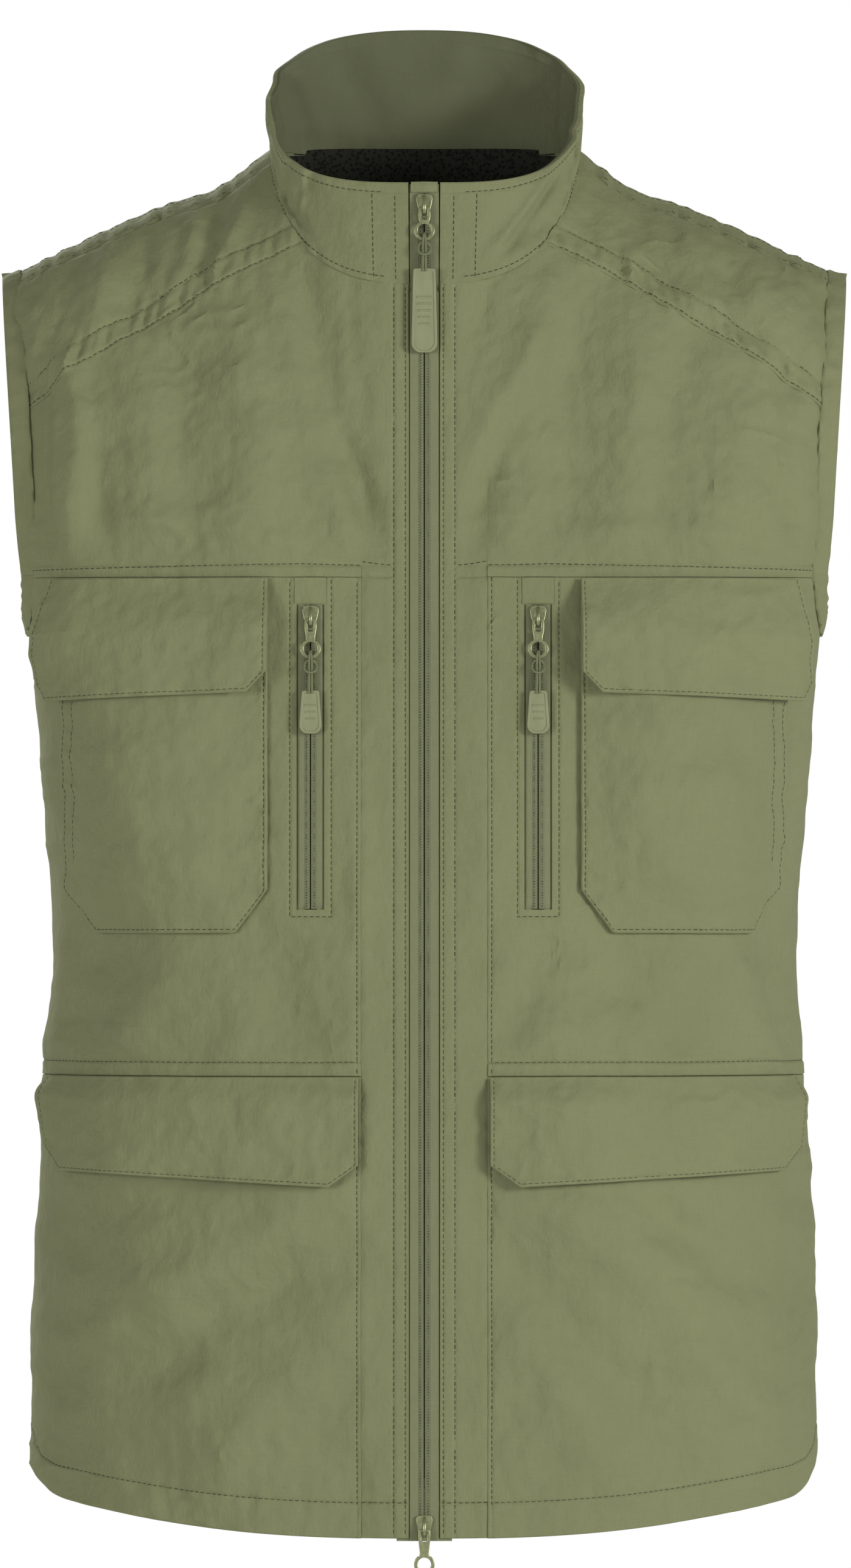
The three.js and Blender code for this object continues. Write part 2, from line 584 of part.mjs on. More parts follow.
// ---- zips --------------------------------------------------------------------------------------
const chainTop = collarZ - 1;
const chainFoot = -1;
const zipRows = [chainFoot, bendZ - 15, bendZ, bendZ + 15, chainTop];
const zipPoint = (x, z) => new THREE.Vector3(x, -frontDepth(z), z);
const chainLayer = flat(-CHAIN_SUNK - CHAIN_THICK / 2, -CHAIN_SUNK + CHAIN_THICK / 2);
const tapeLayer = flat(-CLOTH - SEAM - TAPE_THICK, -CLOTH - SEAM);
addPair('zip_teeth', sheet([CHAIN_SPLIT, CHAIN_HALF], zipRows, zipPoint, chainLayer), nylon);
/** The tape goes on behind the placket, and ends short of the collar's edge above it. */
function tapePoint(u, z) {
  const wide = lerp(14, PLACKET_IN - SEAM, clamp((z - neckZ + 4) / 2, 0, 1));
  return new THREE.Vector3(lerp(CHAIN_HALF + FREE_GAP, wide, u), -frontDepth(z), z);
}
const tapeRows = [...zipRows.slice(0, 4), neckZ - 4, neckZ - 2, chainTop];
addPair('zip_tape', sheet([0, 1], tapeRows, tapePoint, tapeLayer), nylon);

const garageLayer = flat(FREE_GAP, FREE_GAP + 1.2);
add('top_zip_garage', sheet([-6.8, 0, 6.8], [chainTop - 4.5, chainTop + 1], zipPoint, garageLayer), cloth);

const slitPoint = (x, z) => new THREE.Vector3(x, frontY(x, z), z);
const pocketZipRows = even(slitFoot - 2, yokeZ - 2, 3);
const pocketGarageLayer = flat(FREE_GAP, FREE_GAP + 1.2);
const pocketGarage = sheet(even(slitIn - 1, slitOut + 1, 2), [yokeZ - 14, yokeZ - 1.5], slitPoint, pocketGarageLayer);
addPair('pocket_zip_garage', pocketGarage, cloth);

// ---- sliders, tabs, cords and pullers ------------------------------------------------------------
/** A closed geometry as a solid for cutting and joining. */
function solid(geometry) {
  const bare = geometry.clone();
  bare.deleteAttribute('normal');
  bare.deleteAttribute('uv');
  const merged = mergeVertices(bare, 1e-5);
  const vertProperties = new Float32Array(merged.attributes.position.array);
  const triVerts = new Uint32Array(merged.index.array);
  return new wasm.Manifold(new wasm.Mesh({ numProp: 3, vertProperties, triVerts }));
}
function geometryOf(piece) {
  const mesh = piece.getMesh();
  const geometry = new THREE.BufferGeometry();
  geometry.setAttribute('position', new THREE.Float32BufferAttribute(mesh.vertProperties, 3));
  geometry.setIndex([...mesh.triVerts]);
  return geometry;
}
/** A block from its low and high corners. */
function block(low, high) {
  const size = high.map((value, i) => value - low[i]);
  const geometry = new THREE.BoxGeometry(...size);
  geometry.translate(...low.map((value, i) => value + size[i] / 2));
  return solid(geometry);
}
/** A flat plate, its outline in X and Z, from y low to y high. */
function plate(shape, low, high, curveSegments = 5) {
  const geometry = new THREE.ExtrudeGeometry(shape, { depth: high - low, bevelEnabled: false, curveSegments });
  geometry.rotateX(half);
  geometry.translate(0, high, 0);
  return solid(geometry);
}
/** A closed pocket zip: tape behind the slit's edges, teeth standing on it, and its bottom stop. */
function pocketZip() {
  const strip = (x0, x1, layer, rows = pocketZipRows) => solid(sheet([x0, x1], rows, slitPoint, layer));
  const c = SLIT_CENTRE;
  const teethFoot = slitFoot + SEAM;
  const teethRows = [teethFoot, ...pocketZipRows.slice(1)];
  let zip = strip(c - CHAIN_HALF, c + CHAIN_HALF, chainLayer, [teethFoot, teethFoot + 3]);
  for (const side of [-1, 1]) {
    zip = zip.add(strip(c + side * CHAIN_SPLIT, c + side * (SLIT_WIDTH / 2 + 4), tapeLayer));
    zip = zip.add(strip(c + side * CHAIN_SPLIT, c + side * CHAIN_HALF, chainLayer, teethRows));
  }
  return geometryOf(zip);
}
addPair('pocket_zip', pocketZip(), nylon);

// The pieces on a zip are drawn in its own frame: +Z up the zip, -Y out of the cloth, from the
// middle of the closed teeth.
const plateIn = CHAIN_THICK / 2 + PLATE_GAP;
const plateOut = plateIn + PLATE;
const pivotOut = plateOut + 1.7;
const pivotUp = -1.2;
function sliderPiece() {
  const crown = new THREE.Shape();
  const w = SLIDER_WIDTH / 2;
  const h = SLIDER_LENGTH / 2;
  crown.moveTo(-w * 0.62, -h);
  crown.lineTo(w * 0.62, -h);
  crown.lineTo(w * 0.8, h * 0.1);
  crown.quadraticCurveTo(w * 1.05, h * 0.75, w * 0.7, h);
  crown.lineTo(-w * 0.7, h);
  crown.quadraticCurveTo(-w * 1.05, h * 0.75, -w * 0.8, h * 0.1);
  crown.closePath();
  const front = plate(crown, -plateOut, -plateIn, 3);
  const back = plate(crown, plateIn, plateOut, 3);
  const web = block([-WEB / 2, -plateIn - 0.1, 1], [WEB / 2, plateIn + 0.1, h - 0.6]);
  const bailHigh = 2.4;
  const bailLow = pivotUp - 2.6;
  const reach = -plateOut - BAIL_REACH;
  const bar = BAIL_BAR / 2;
  const bail = block([-bar, reach, bailLow], [bar, -plateOut + 0.1, bailHigh])
    .subtract(block([-bar - 1, reach + 1.1, bailLow + 1.2], [bar + 1, -plateOut + 1, bailHigh - 1.2])
      .subtract(block([-bar - 2, -plateOut, bailLow], [bar + 2, -plateOut + 2, bailHigh])));
  return geometryOf(front.add(back).add(web).add(bail));
}

/** A ring with a shank up to the bar that turns inside the slider's bail. */
function tabPiece(shank) {
  const t = TAB_THICK / 2;
  const arm = BAIL_BAR / 2 + 0.45;
  const outline = new THREE.Shape();
  outline.absarc(0, -shank, RING_OUTER, 0, 2 * Math.PI, false);
  const eye = new THREE.Shape();
  eye.absarc(0, -shank, RING_HOLE, 0, 2 * Math.PI, false);
  const neck = block([-arm - 1.1, -t, -shank + RING_HOLE + 1], [arm + 1.1, t, t]);
  const gap = block([-arm, -t - 1, -4.7], [arm, t + 1, -t]);
  const body = plate(outline, -t, t, 7).add(neck).subtract(plate(eye, -t - 1, t + 1, 6)).subtract(gap);
  return geometryOf(body);
}

const loopRadius = TAB_THICK / 2 + FREE_GAP + CORD_RADIUS + 0.1;
/** The cord loop: over the ring's lower bar and down both sides of it to the puller. */
function cordPiece(drop) {
  const path = new THREE.CurvePath();
  const front = -loopRadius;
  const back = loopRadius;
  const v = (y, z) => new THREE.Vector3(0, y, z);
  path.add(new THREE.LineCurve3(v(front, -drop + FREE_GAP), v(front, 0.9)));
  path.add(new THREE.CubicBezierCurve3(v(front, 0.9), v(front, 3), v(back, 3), v(back, 0.9)));
  path.add(new THREE.LineCurve3(v(back, 0.9), v(back, -drop + FREE_GAP)));
  const section = new THREE.Shape();
  section.absarc(0, 0, CORD_RADIUS, 0, 2 * Math.PI, false);
  const geometry = new THREE.ExtrudeGeometry(section, { steps: 14, curveSegments: 3, extrudePath: path });
  return geometryOf(solid(geometry));
}

/** A moulded puller hanging from z top, wider at one end, with rounded lower corners. */
function pullerPiece(drop, length, topWidth, lowWidth, thick) {
  const shape = new THREE.Shape();
  const [t, w] = [topWidth / 2, lowWidth / 2];
  const round = w * 0.7;
  shape.moveTo(-t + 1.5, -drop);
  shape.lineTo(-t, -drop - 1.5);
  shape.lineTo(-w, -drop - length + round);
  shape.quadraticCurveTo(-w, -drop - length, -w + round, -drop - length);
  shape.lineTo(w - round, -drop - length);
  shape.quadraticCurveTo(w, -drop - length, w, -drop - length + round);
  shape.lineTo(t, -drop - 1.5);
  shape.lineTo(t - 1.5, -drop);
  shape.closePath();
  return geometryOf(plate(shape, -thick / 2, thick / 2, 4));
}

/** A group standing on a zip's line at (x, z), its +Z along the line up to z + run. */
function zipFrame(x, z, run, y = frontY) {
  const group = new THREE.Group();
  const here = new THREE.Vector3(x, y(x, z), z);
  const up = new THREE.Vector3(x, y(x, z + run), z + run).sub(here).multiplyScalar(Math.sign(run));
  group.rotation.x = -Math.atan2(up.y, up.z);
  const out = new THREE.Vector3(0, -1, 0).applyEuler(group.rotation);
  group.position.copy(here.addScaledVector(out, -CHAIN_SUNK));
  frame.add(group);
  return group;
}
/** Hangs a slider, its tab and, where it has one, its cord and puller on a zip. */
function dressZip(prefix, group, shank, puller) {
  add(`${prefix}_slider`, sliderPiece(), metal, group);
  const tab = tabPiece(shank);
  tab.translate(0, -pivotOut, pivotUp);
  add(`${prefix}_tab`, tab, metal, group);
  if (!puller) return;
  const eyeZ = pivotUp - shank - (RING_OUTER + RING_HOLE) / 2;
  const cord = cordPiece(puller.drop);
  cord.translate(0, -pivotOut, eyeZ);
  add(`${prefix}_cord`, cord, nylon, group);
  const grip = pullerPiece(puller.drop, puller.length, puller.top, puller.low, puller.thick);
  grip.translate(0, -pivotOut, eyeZ);
  add(`${prefix}_puller`, grip, rubber, group);
}

const topSliderZ = collarZ - 4.5 - FREE_GAP - 1 - SLIDER_LENGTH / 2 - 0.2;
const mainPuller = { drop: CORD_DROP, length: 43, top: 11.4, low: 13.1, thick: 3.4 };
const middleY = (x, z) => -frontDepth(z);
dressZip('top', zipFrame(0, topSliderZ, -200, middleY), 11.5, mainPuller);
dressZip('bottom', zipFrame(0, chainFoot + SLIDER_LENGTH / 2, 100, middleY), 17);
const pocketPuller = { drop: 17, length: 22, top: 9, low: 11.3, thick: 3 };
const pocketSliderZ = yokeZ - 14 - FREE_GAP - 0.2 - SLIDER_LENGTH / 2;
dressZip('left_pocket', zipFrame(SLIT_CENTRE, pocketSliderZ, -125), 14.5, pocketPuller);
dressZip('right_pocket', zipFrame(-SLIT_CENTRE, pocketSliderZ, -125), 14.5, pocketPuller);
export default vest;
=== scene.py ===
"""The finished look of a sleeveless travel vest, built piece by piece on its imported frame.

Sizes are millimetres in the design's own coordinates, +x to the wearer's left, -y to the front and
z up from the hem, until a mesh is made: there they become metres in the frame's coordinates.
"""
import math

import bpy
import numpy as np
from mathutils import Matrix, Vector


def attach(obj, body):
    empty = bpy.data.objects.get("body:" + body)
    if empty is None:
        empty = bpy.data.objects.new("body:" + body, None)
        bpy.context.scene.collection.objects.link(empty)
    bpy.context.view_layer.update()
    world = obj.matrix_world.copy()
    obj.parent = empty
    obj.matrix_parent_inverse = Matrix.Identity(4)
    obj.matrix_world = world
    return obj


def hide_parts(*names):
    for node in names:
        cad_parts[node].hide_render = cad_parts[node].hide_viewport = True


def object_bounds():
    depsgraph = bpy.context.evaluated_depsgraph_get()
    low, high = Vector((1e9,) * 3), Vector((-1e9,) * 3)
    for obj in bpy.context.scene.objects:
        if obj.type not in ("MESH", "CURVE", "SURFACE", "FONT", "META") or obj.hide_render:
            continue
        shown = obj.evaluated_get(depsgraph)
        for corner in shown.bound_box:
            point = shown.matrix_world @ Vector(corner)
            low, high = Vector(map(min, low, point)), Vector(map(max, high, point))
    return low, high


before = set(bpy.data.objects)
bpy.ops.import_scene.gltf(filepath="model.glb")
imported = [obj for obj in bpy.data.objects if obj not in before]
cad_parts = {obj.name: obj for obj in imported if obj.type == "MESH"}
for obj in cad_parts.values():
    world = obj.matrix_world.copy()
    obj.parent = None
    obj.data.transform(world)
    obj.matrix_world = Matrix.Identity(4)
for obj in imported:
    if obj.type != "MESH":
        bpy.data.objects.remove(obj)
cad_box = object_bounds()

# ---- sizes shared with the frame ------------------------------------------------------------
HIP, WAIST, UNDERARM, SHOULDER, NECK = 199, 189, 201, 216, 78
WAIST_Z, YOKE_Z, NECK_Z, SIDE_NECK_Z, TIP_Z = 233, 485, 634, 704, 637
UNDERARM_Z, COLLAR_Z, DOME_Z, BEND_Z = 457, 685, 520, 215
HEM_DEPTH, COLLAR_DEPTH, BACK_DEPTH, CREST = 130, 76, 112, 5
ARMHOLE_FRONT, ARMHOLE_REAR, ARMHOLE_RISE, HEM_LIFT = 54, 62, 43, 45
COLLAR_BACK, COLLAR_FLARE = 64, 3
CLOTH, SEAM, LAYER, LINING_DEPTH = 1.2, 0.4, 0.9, 8
PLACKET_IN, PLACKET_OUT, FRONT_END, SIDE_SPAN = 7.8, 32, 168, 60
SLIT, SLIT_HALF, SLIT_FOOT = 57.5, 7, 317
POCKET_IN, POCKET_OUT, POCKET_FOOT, POCKET_TOP, BELLOWS = 79, 182, 305, 473, 8
BINDING_WIDTH, BINDING_THICK = 8.5, 2.4
CHAIN_HALF, CHAIN_SUNK, CHAIN_FOOT, CHAIN_TOP = 3, 1, -1, 684
SLIDER_HALF, PIVOT_OUT, PIVOT_UP = 6.5, 4.2, -1.2
RING_OUTER, RING_HOLE = 5.2, 3.4
# rows of stitches: height over the hem, offset from the placket, over the waist, round a slit, over
# the yoke seam, and the two rows of a placket
HEM_ROW, FRONT_ROW, WAIST_ROW, BOX_ROW, YOKE_ROW = 18, PLACKET_OUT + 2, WAIST_Z + 7, 3.5, 6
PLACKET_ROWS = (9.6, 15.4)
# how the panels are measured: width and height of their own coordinates, and what laps past them
CHEST_RUN, CHEST_LAP, CHEST_TALL = 170, 174, 150
SHOULDER_RUN, SHOULDER_LAP, SHOULDER_TALL, REAR_DROP = 140, 143, 50, 7.5
POCKET_TALL, COLLAR_RUN, COLLAR_TALL, BAND_UNDER = 168, 300, 50, 1.8
GARAGE_FOOT, TOP_GARAGE, TEETH, TAPE_OUT = YOKE_Z - 14, 4.5, 1.4, 14
HEART = np.array([0, 0, YOKE_Z - 85.0])


# ---- smooth outlines --------------------------------------------------------------------------
def lerp(a, b, share):
    return a + (b - a) * share


def smooth(value, low, high):
    """0 below low, 1 above high and a soft step between."""
    t = np.clip((value - low) / (high - low), 0, 1)
    return t * t * (3 - 2 * t)


def through(*knots):
    """A smooth curve through (place, value) knots, level beyond its ends."""
    places, values = np.array(knots, float).T
    rise = np.append(values[1:], values[-1]) - np.insert(values[:-1], 0, values[0])
    slopes = rise / (np.append(places[1:], places[-1]) - np.insert(places[:-1], 0, places[0]))

    def curve(place):
        p = np.clip(place, places[0], places[-1])
        i = np.clip(np.searchsorted(places, p, "right") - 1, 0, len(places) - 2)
        width = places[i + 1] - places[i]
        s = (p - places[i]) / width
        bend = s * (1 - s) ** 2 * width * slopes[i] + s * s * (s - 1) * width * slopes[i + 1]
        return lerp(values[i], values[i + 1], s * s * (3 - 2 * s)) + bend

    return curve


half_width = through(
    (0, HIP - 1), (WAIST_Z / 2, HIP), (WAIST_Z + 15, lerp(WAIST, HIP, 0.23)), (WAIST_Z + 67, WAIST),
    (UNDERARM_Z - 17, UNDERARM - 1), (YOKE_Z + 15, lerp(UNDERARM, SHOULDER, 0.33)), (TIP_Z, SHOULDER))
squareness = through((WAIST_Z + 67, 2.5), (YOKE_Z, 3.5), (YOKE_Z + 75, 4))
back_depth = through(
    (0, BACK_DEPTH + 6), (WAIST_Z / 2, BACK_DEPTH + 6), (WAIST_Z + 30, BACK_DEPTH - 12),
    (UNDERARM_Z, BACK_DEPTH), (YOKE_Z + 60, BACK_DEPTH), (SIDE_NECK_Z, BACK_DEPTH - 30))
crest_z = through(
    (0, SIDE_NECK_Z + 36), (NECK - 18, SIDE_NECK_Z + 12), (NECK, SIDE_NECK_Z),
    (lerp(NECK, SHOULDER, 0.2), SIDE_NECK_Z - 20),
    (lerp(NECK, SHOULDER, 0.42), lerp(SIDE_NECK_Z, TIP_Z, 0.45)),
    (lerp(NECK, SHOULDER, 0.86), lerp(SIDE_NECK_Z, TIP_Z, 0.88)), (SHOULDER, TIP_Z))


def front_depth(z):
    """The front's depth at its middle: a straight zip line above the bend, nearly upright below."""
    upper = (HEM_DEPTH - 0.02 * COLLAR_Z - COLLAR_DEPTH) / (COLLAR_Z - BEND_Z)
    past = np.clip(z - BEND_Z, -15, 15)
    bent = (past + 15) ** 2 / 60 + np.maximum(z - BEND_Z - 15, 0)
    return HEM_DEPTH - 0.02 * z - upper * bent


def domed(x, z):
    """The share of its depth that the body keeps as it closes over the shoulder."""
    share = np.clip((z - DOME_Z) / (crest_z(np.abs(x)) - DOME_Z), 0, 1)
    return (1 - share ** 2.6) ** (1 / 2.2)


def reach_of(x, z, depth):
    n = squareness(z)
    return depth * (1 - np.minimum(np.abs(x) / half_width(z), 1) ** n) ** (1 / n)


def front_y(x, z):
    away = smooth(np.abs(x), 20, NECK)
    return CREST - (CREST + reach_of(x, z, front_depth(z))) * (1 - away * (1 - domed(x, z)))


def back_y(x, z):
    return CREST + (reach_of(x, z, back_depth(z)) - CREST) * domed(x, z)


def points(x, y, z):
    return np.stack(np.broadcast_arrays(x, y, z), -1).astype(float)


def on_front(x, z):
    return points(x, front_y(x, z), z)


def ring(angle, z):
    """The body's ring at height z, for angles from 0 at the front to pi at the back."""
    power = 2 / squareness(z)
    cosine = np.cos(angle)
    depth = np.where(cosine >= 0, -front_depth(z), back_depth(z))
    x = half_width(z) * np.maximum(np.sin(angle), 0) ** power
    return points(x, depth * np.abs(cosine) ** power, z)


def angle_of_x(x, z):
    return np.arcsin(np.minimum(x / half_width(z), 1) ** (squareness(z) / 2))


def angle_of_y(y, depth, z):
    return np.arccos(np.clip(y / depth, 0, 1) ** (squareness(z) / 2))


def armhole_x(z):
    return lerp(UNDERARM - 4, SHOULDER - 10, (z - YOKE_Z) / (TIP_Z - YOKE_Z))


def armhole_reach(z, most):
    drop = np.clip((UNDERARM_Z + ARMHOLE_RISE - z) / ARMHOLE_RISE, 0, 1)
    return most * (1 - drop ** 2.3) ** 0.435


def side_angle(z, depth, most):
    return np.where(z <= UNDERARM_Z, math.pi / 2, angle_of_y(armhole_reach(z, most), depth, z))


def hem_z(x):
    out = np.abs(x)
    corner = np.maximum(0, out - HIP + 29) / 30
    return 13.4 * (out / 160) ** 2.5 + (HEM_LIFT - 21) * np.minimum(corner, 1.1) ** 6


def neck_z(angle):
    front = NECK_Z + (SIDE_NECK_Z - NECK_Z) * (1 - np.cos(np.minimum(angle, math.pi / 2))) ** 1.1
    return np.where(angle > math.pi / 2, SIDE_NECK_Z + 2 * np.cos(angle), front)


def neck_x(angle):
    return NECK * np.sin(np.minimum(angle, math.pi - angle)) ** 0.8


def neck_angle(x):
    return np.arcsin(np.minimum(x / NECK, 1) ** 1.25)


def neck_front_z(x):
    return neck_z(neck_angle(x))


SEAM_NECK_X = 62
front_seam_z = through(
    (SEAM_NECK_X, float(neck_front_z(SEAM_NECK_X)) - 2), (100, YOKE_Z + 149), (133, YOKE_Z + 131),
    (161, YOKE_Z + 115), (188, YOKE_Z + 98), (SHOULDER - 12, YOKE_Z + 84))
SEAM_END_X = float(armhole_x(front_seam_z(SHOULDER)))


# ---- seeded unevenness ------------------------------------------------------------------------
dice = np.random.default_rng(11)


def bank(count, low, high):
    """Wave vectors and phases for noise whose waves are low to high millimetres long."""
    angle = dice.uniform(0, math.pi, count)
    pitch = dice.uniform(low, high, count)
    turn = 2 * math.pi / pitch
    return turn * np.cos(angle), turn * np.sin(angle), dice.uniform(0, 2 * math.pi, count)


def noise(x, z, waves):
    total = 0
    for kx, kz, phase in zip(*waves):
        total = total + np.sin(kx * x + kz * z + phase)
    return total / math.sqrt(len(waves[0]))


BROAD, SOFT, FINE, RIPPLE = bank(7, 70, 150), bank(9, 22, 48), bank(9, 8, 15), bank(6, 5, 14)
SIDEWAYS, CREASED, PATCHY = bank(6, 26, 60), bank(7, 34, 90), bank(6, 60, 140)


def creases(x, z):
    """Thin soft creases that come and go."""
    bent = noise(x + 9 * noise(x, z, SOFT), z, CREASED)
    here = smooth(noise(x, z, PATCHY), -0.3, 0.9)
    return here * np.exp(-(bent / 0.12) ** 2)


def ripples(place, seed):
    """Uneven waves along a seam, about 9 mm long."""
    return noise(place + 37.0 * seed, 0 * place + 11.0 * seed, RIPPLE)


def groove(distance, depth=0.45, width=0.75):
    return -1.5 * depth * np.exp(-(distance / width) ** 2)


def pucker(distance, place, size=0.35, reach=5.0, seed=0):
    """The gathers beside a row of stitches, dying out away from it."""
    return size * np.exp(-np.abs(distance) / reach) * ripples(place, seed)


def turned(distance, radius=0.8):
    """The rounding of a turned edge."""
    short = np.clip(1 - distance / radius, 0, 1)
    return -radius * (1 - np.sqrt(1 - short * short))


# ---- folds of the hanging cloth ---------------------------------------------------------------
# x and z of both ends, half width and height, seen from the front; heights below 0 are valleys
FRONT_FOLDS = [
    (-62, 636, -17, 498, 9, -3.4), (-74, 632, -38, 505, 11, 2.4), (-24, 600, -12, 520, 8, 1.4),
    (-96, 630, -88, 500, 14, 1.6), (-124, 616, -112, 505, 13, -1.5), (-148, 600, -140, 500, 12, 1.5),
    (-193, 590, -187, 488, 6, -2.8), (-181, 600, -178, 500, 7, 2.2), (-168, 560, -160, 495, 9, -1.6),
    (-172, 512, -60, 500, 7, 1.0), (-120, 640, -150, 600, 10, -1.0),
    (-86, 692, -104, 644, 4, 1.4), (-98, 684, -116, 636, 5, -1.3), (-112, 676, -130, 626, 5, 1.3),
    (-134, 664, -150, 612, 6, -1.0), (-160, 652, -172, 600, 6, 1.0), (90, 690, 108, 640, 5, 1.2),
    (108, 678, 126, 628, 5, -1.2), (126, 668, 148, 616, 6, 1.2), (152, 656, 170, 600, 6, -1.0),
    (66, 642, 22, 540, 10, 2.6), (50, 580, 22, 500, 9, -3.0), (38, 640, 20, 590, 8, -1.6),
    (84, 632, 74, 505, 14, -1.7), (108, 622, 96, 500, 12, 1.7), (136, 610, 120, 512, 13, -1.3),
    (160, 590, 150, 505, 12, 1.4), (186, 600, 186, 498, 8, -2.0), (176, 590, 178, 500, 7, 1.4),
    (70, 508, 180, 500, 7, 0.9),
    (-180, 300, -196, 200, 9, 2.4), (-160, 305, -182, 240, 9, -1.8), (-120, 300, -165, 238, 12, 1.6),
    (-80, 300, -50, 240, 12, -1.2), (-100, 290, -90, 240, 14, 1.2), (-45, 420, -40, 260, 7, 0.8),
    (150, 305, 172, 238, 10, 1.9), (176, 330, 186, 240, 8, -2.0), (120, 300, 104, 240, 13, 1.2),
    (70, 308, 44, 240, 12, -1.4), (90, 296, 140, 250, 12, -1.0),
    (-50, 176, -165, 112, 16, 2.4), (-42, 150, -150, 66, 15, -2.0), (-38, 120, -120, 30, 16, 1.8),
    (-110, 180, -190, 140, 12, -1.6), (-90, 84, -186, 60, 14, 1.5), (-150, 110, -190, 96, 9, 1.5),
    (50, 172, 150, 104, 16, 2.4), (42, 150, 120, 66, 15, -2.2), (36, 112, 100, 24, 14, 1.9),
    (110, 176, 186, 120, 12, -1.7), (120, 100, 188, 48, 13, 1.8), (84, 60, 160, 30, 14, -1.4),
]
BACK_FOLDS = [
    (-150, 640, -60, 480, 22, 2.4), (150, 640, 60, 480, 22, 2.4), (0, 600, 6, 420, 26, -2.6),
    (-120, 470, -60, 240, 20, 3.0), (110, 470, 70, 250, 20, 2.8), (-20, 460, -34, 200, 17, 2.4),
    (40, 440, 30, 180, 16, -2.4), (-80, 330, -150, 60, 20, -2.4), (84, 320, 140, 50, 20, -2.6),
    (-170, 400, -150, 200, 14, 2.2), (172, 400, 156, 180, 14, 2.4), (-30, 220, 40, 30, 20, 2.2),
    (150, 250, 60, 214, 14, 1.4), (-150, 262, -50, 224, 14, 1.6),
]


def ridge(x, z, x0, z0, x1, z1, wide, high):
    run = math.hypot(x1 - x0, z1 - z0)
    along = ((x - x0) * (x1 - x0) + (z - z0) * (z1 - z0)) / run ** 2
    off = ((x - x0) * (z1 - z0) - (z - z0) * (x1 - x0)) / run
    off = off + 0.05 * run * np.sin(math.pi * np.clip(along, -0.2, 1.2)) * math.copysign(1, high)
    ends = smooth(along, -0.2, 0.3) * smooth(1 - along, -0.2, 0.3)
    return high * np.exp(-(off / wide) ** 2) * ends


def calm(x, z):
    """Where the cloth lies flat: along the zips and the cross seams."""
    out = np.abs(x)
    beside = np.hypot(np.maximum(np.abs(out - SLIT) - 10, 0), np.maximum(np.abs(z - 401) - 86, 0))
    seams = 1 - 0.6 * np.exp(-((z - YOKE_Z - 2) / 9) ** 2) - 0.6 * np.exp(-((z - WAIST_Z - 2) / 9) ** 2)
    return smooth(out, 13, 36) * smooth(beside, 0, 20) * seams


def folds(p):
    """How far the folds move the cloth out, at points of the body."""
    x, y, z = p[..., 0], p[..., 1], p[..., 2]
    front = np.zeros(x.shape)
    for fold in FRONT_FOLDS:
        front += ridge(x, z, *fold)
    back = np.zeros(x.shape)
    for fold in BACK_FOLDS:
        back += ridge(x, z, *fold)
    soft = 1.6 * noise(x, z, BROAD) + 0.7 * noise(x, z, SOFT) + 0.26 * noise(x, z, FINE)
    soft = soft + creases(x, z)
    side = (0.6 + 0.3 * noise(y, z, SIDEWAYS)) * smooth(np.abs(x), 150, 186) * smooth(-z, -470, -400)
    facing = smooth(-y, -6, 34)
    over = smooth(-z, -690, -640)
    rear = back + 1.3 * soft * (1 - 0.75 * smooth(np.abs(x), 150, 184))
    return over * (facing * (2.2 * front + soft) * calm(x, z) + (1 - facing) * rear + side)


# ---- cloth ------------------------------------------------------------------------------------
class Cloth:
    """A layer of cloth: at(a, b) gives its surface, and lift and detail what stands out from it."""

    def __init__(self, at, side=1, lift=0.0, thick=CLOTH, detail=None, folded=1.0, step=0.05):
        self.at, self.side, self.lift, self.thick = at, side, lift, thick
        self.detail, self.folded, self.step = detail, folded, step

    def bare(self, a, b):
        p = np.array(self.at(a, b), float)
        p[..., 0] *= self.side
        return p

    def point(self, a, b):
        """The outer face's points and the directions out of it."""
        a, b = np.broadcast_arrays(np.asarray(a, float), np.asarray(b, float))
        p = self.bare(a, b)
        e = self.step
        across = self.bare(a + e, b) - self.bare(a - e, b)
        up = self.bare(a, b + e) - self.bare(a, b - e)
        normal = np.cross(across, up)
        normal /= np.maximum(np.linalg.norm(normal, axis=-1, keepdims=True), 1e-9)
        normal *= np.where(np.sum(normal * (p - HEART), -1, keepdims=True) < 0, -1, 1)
        out = self.lift(a, b) if callable(self.lift) else self.lift
        if self.detail is not None:
            out = out + self.detail(a, b, p)
        if self.folded:
            out = out + self.folded * folds(p)
        return p + normal * np.broadcast_to(out, a.shape)[..., None], normal


def grid(low, high, step, *near):
    """Places from low to high, a step apart and closer together near the given places."""
    even = np.linspace(low, high, max(2, int(math.ceil((high - low) / step)) + 1))
    close = [n + d for n in near for d in (-1.9, -1.2, -0.75, -0.4, 0, 0.4, 0.75, 1.2, 1.9)]
    kept = [p for p in close if low < p < high]
    exact = sorted([low, high] + kept)
    rest = [p for p in even if min(abs(p - e) for e in exact) > 0.35 * min(step, 1.2)]
    places = sorted(rest + exact)
    return np.array([p for i, p in enumerate(places) if i == 0 or p - places[i - 1] > 0.05])


def to_frame(verts):
    """Design millimetres to the frame's metres."""
    return (np.asarray(verts, float) - [0, 0, SIDE_NECK_Z]) / 1000


def new_object(name, verts, faces, material, sharp=40):
    mesh = bpy.data.meshes.new(name)
    mesh.from_pydata(to_frame(verts).tolist(), [], faces if isinstance(faces, list) else faces.tolist())
    mesh.validate()
    mesh.set_sharp_from_angle(angle=math.radians(sharp))
    mesh.materials.append(material)
    piece = bpy.data.objects.new(name, mesh)
    bpy.context.scene.collection.objects.link(piece)
    return piece


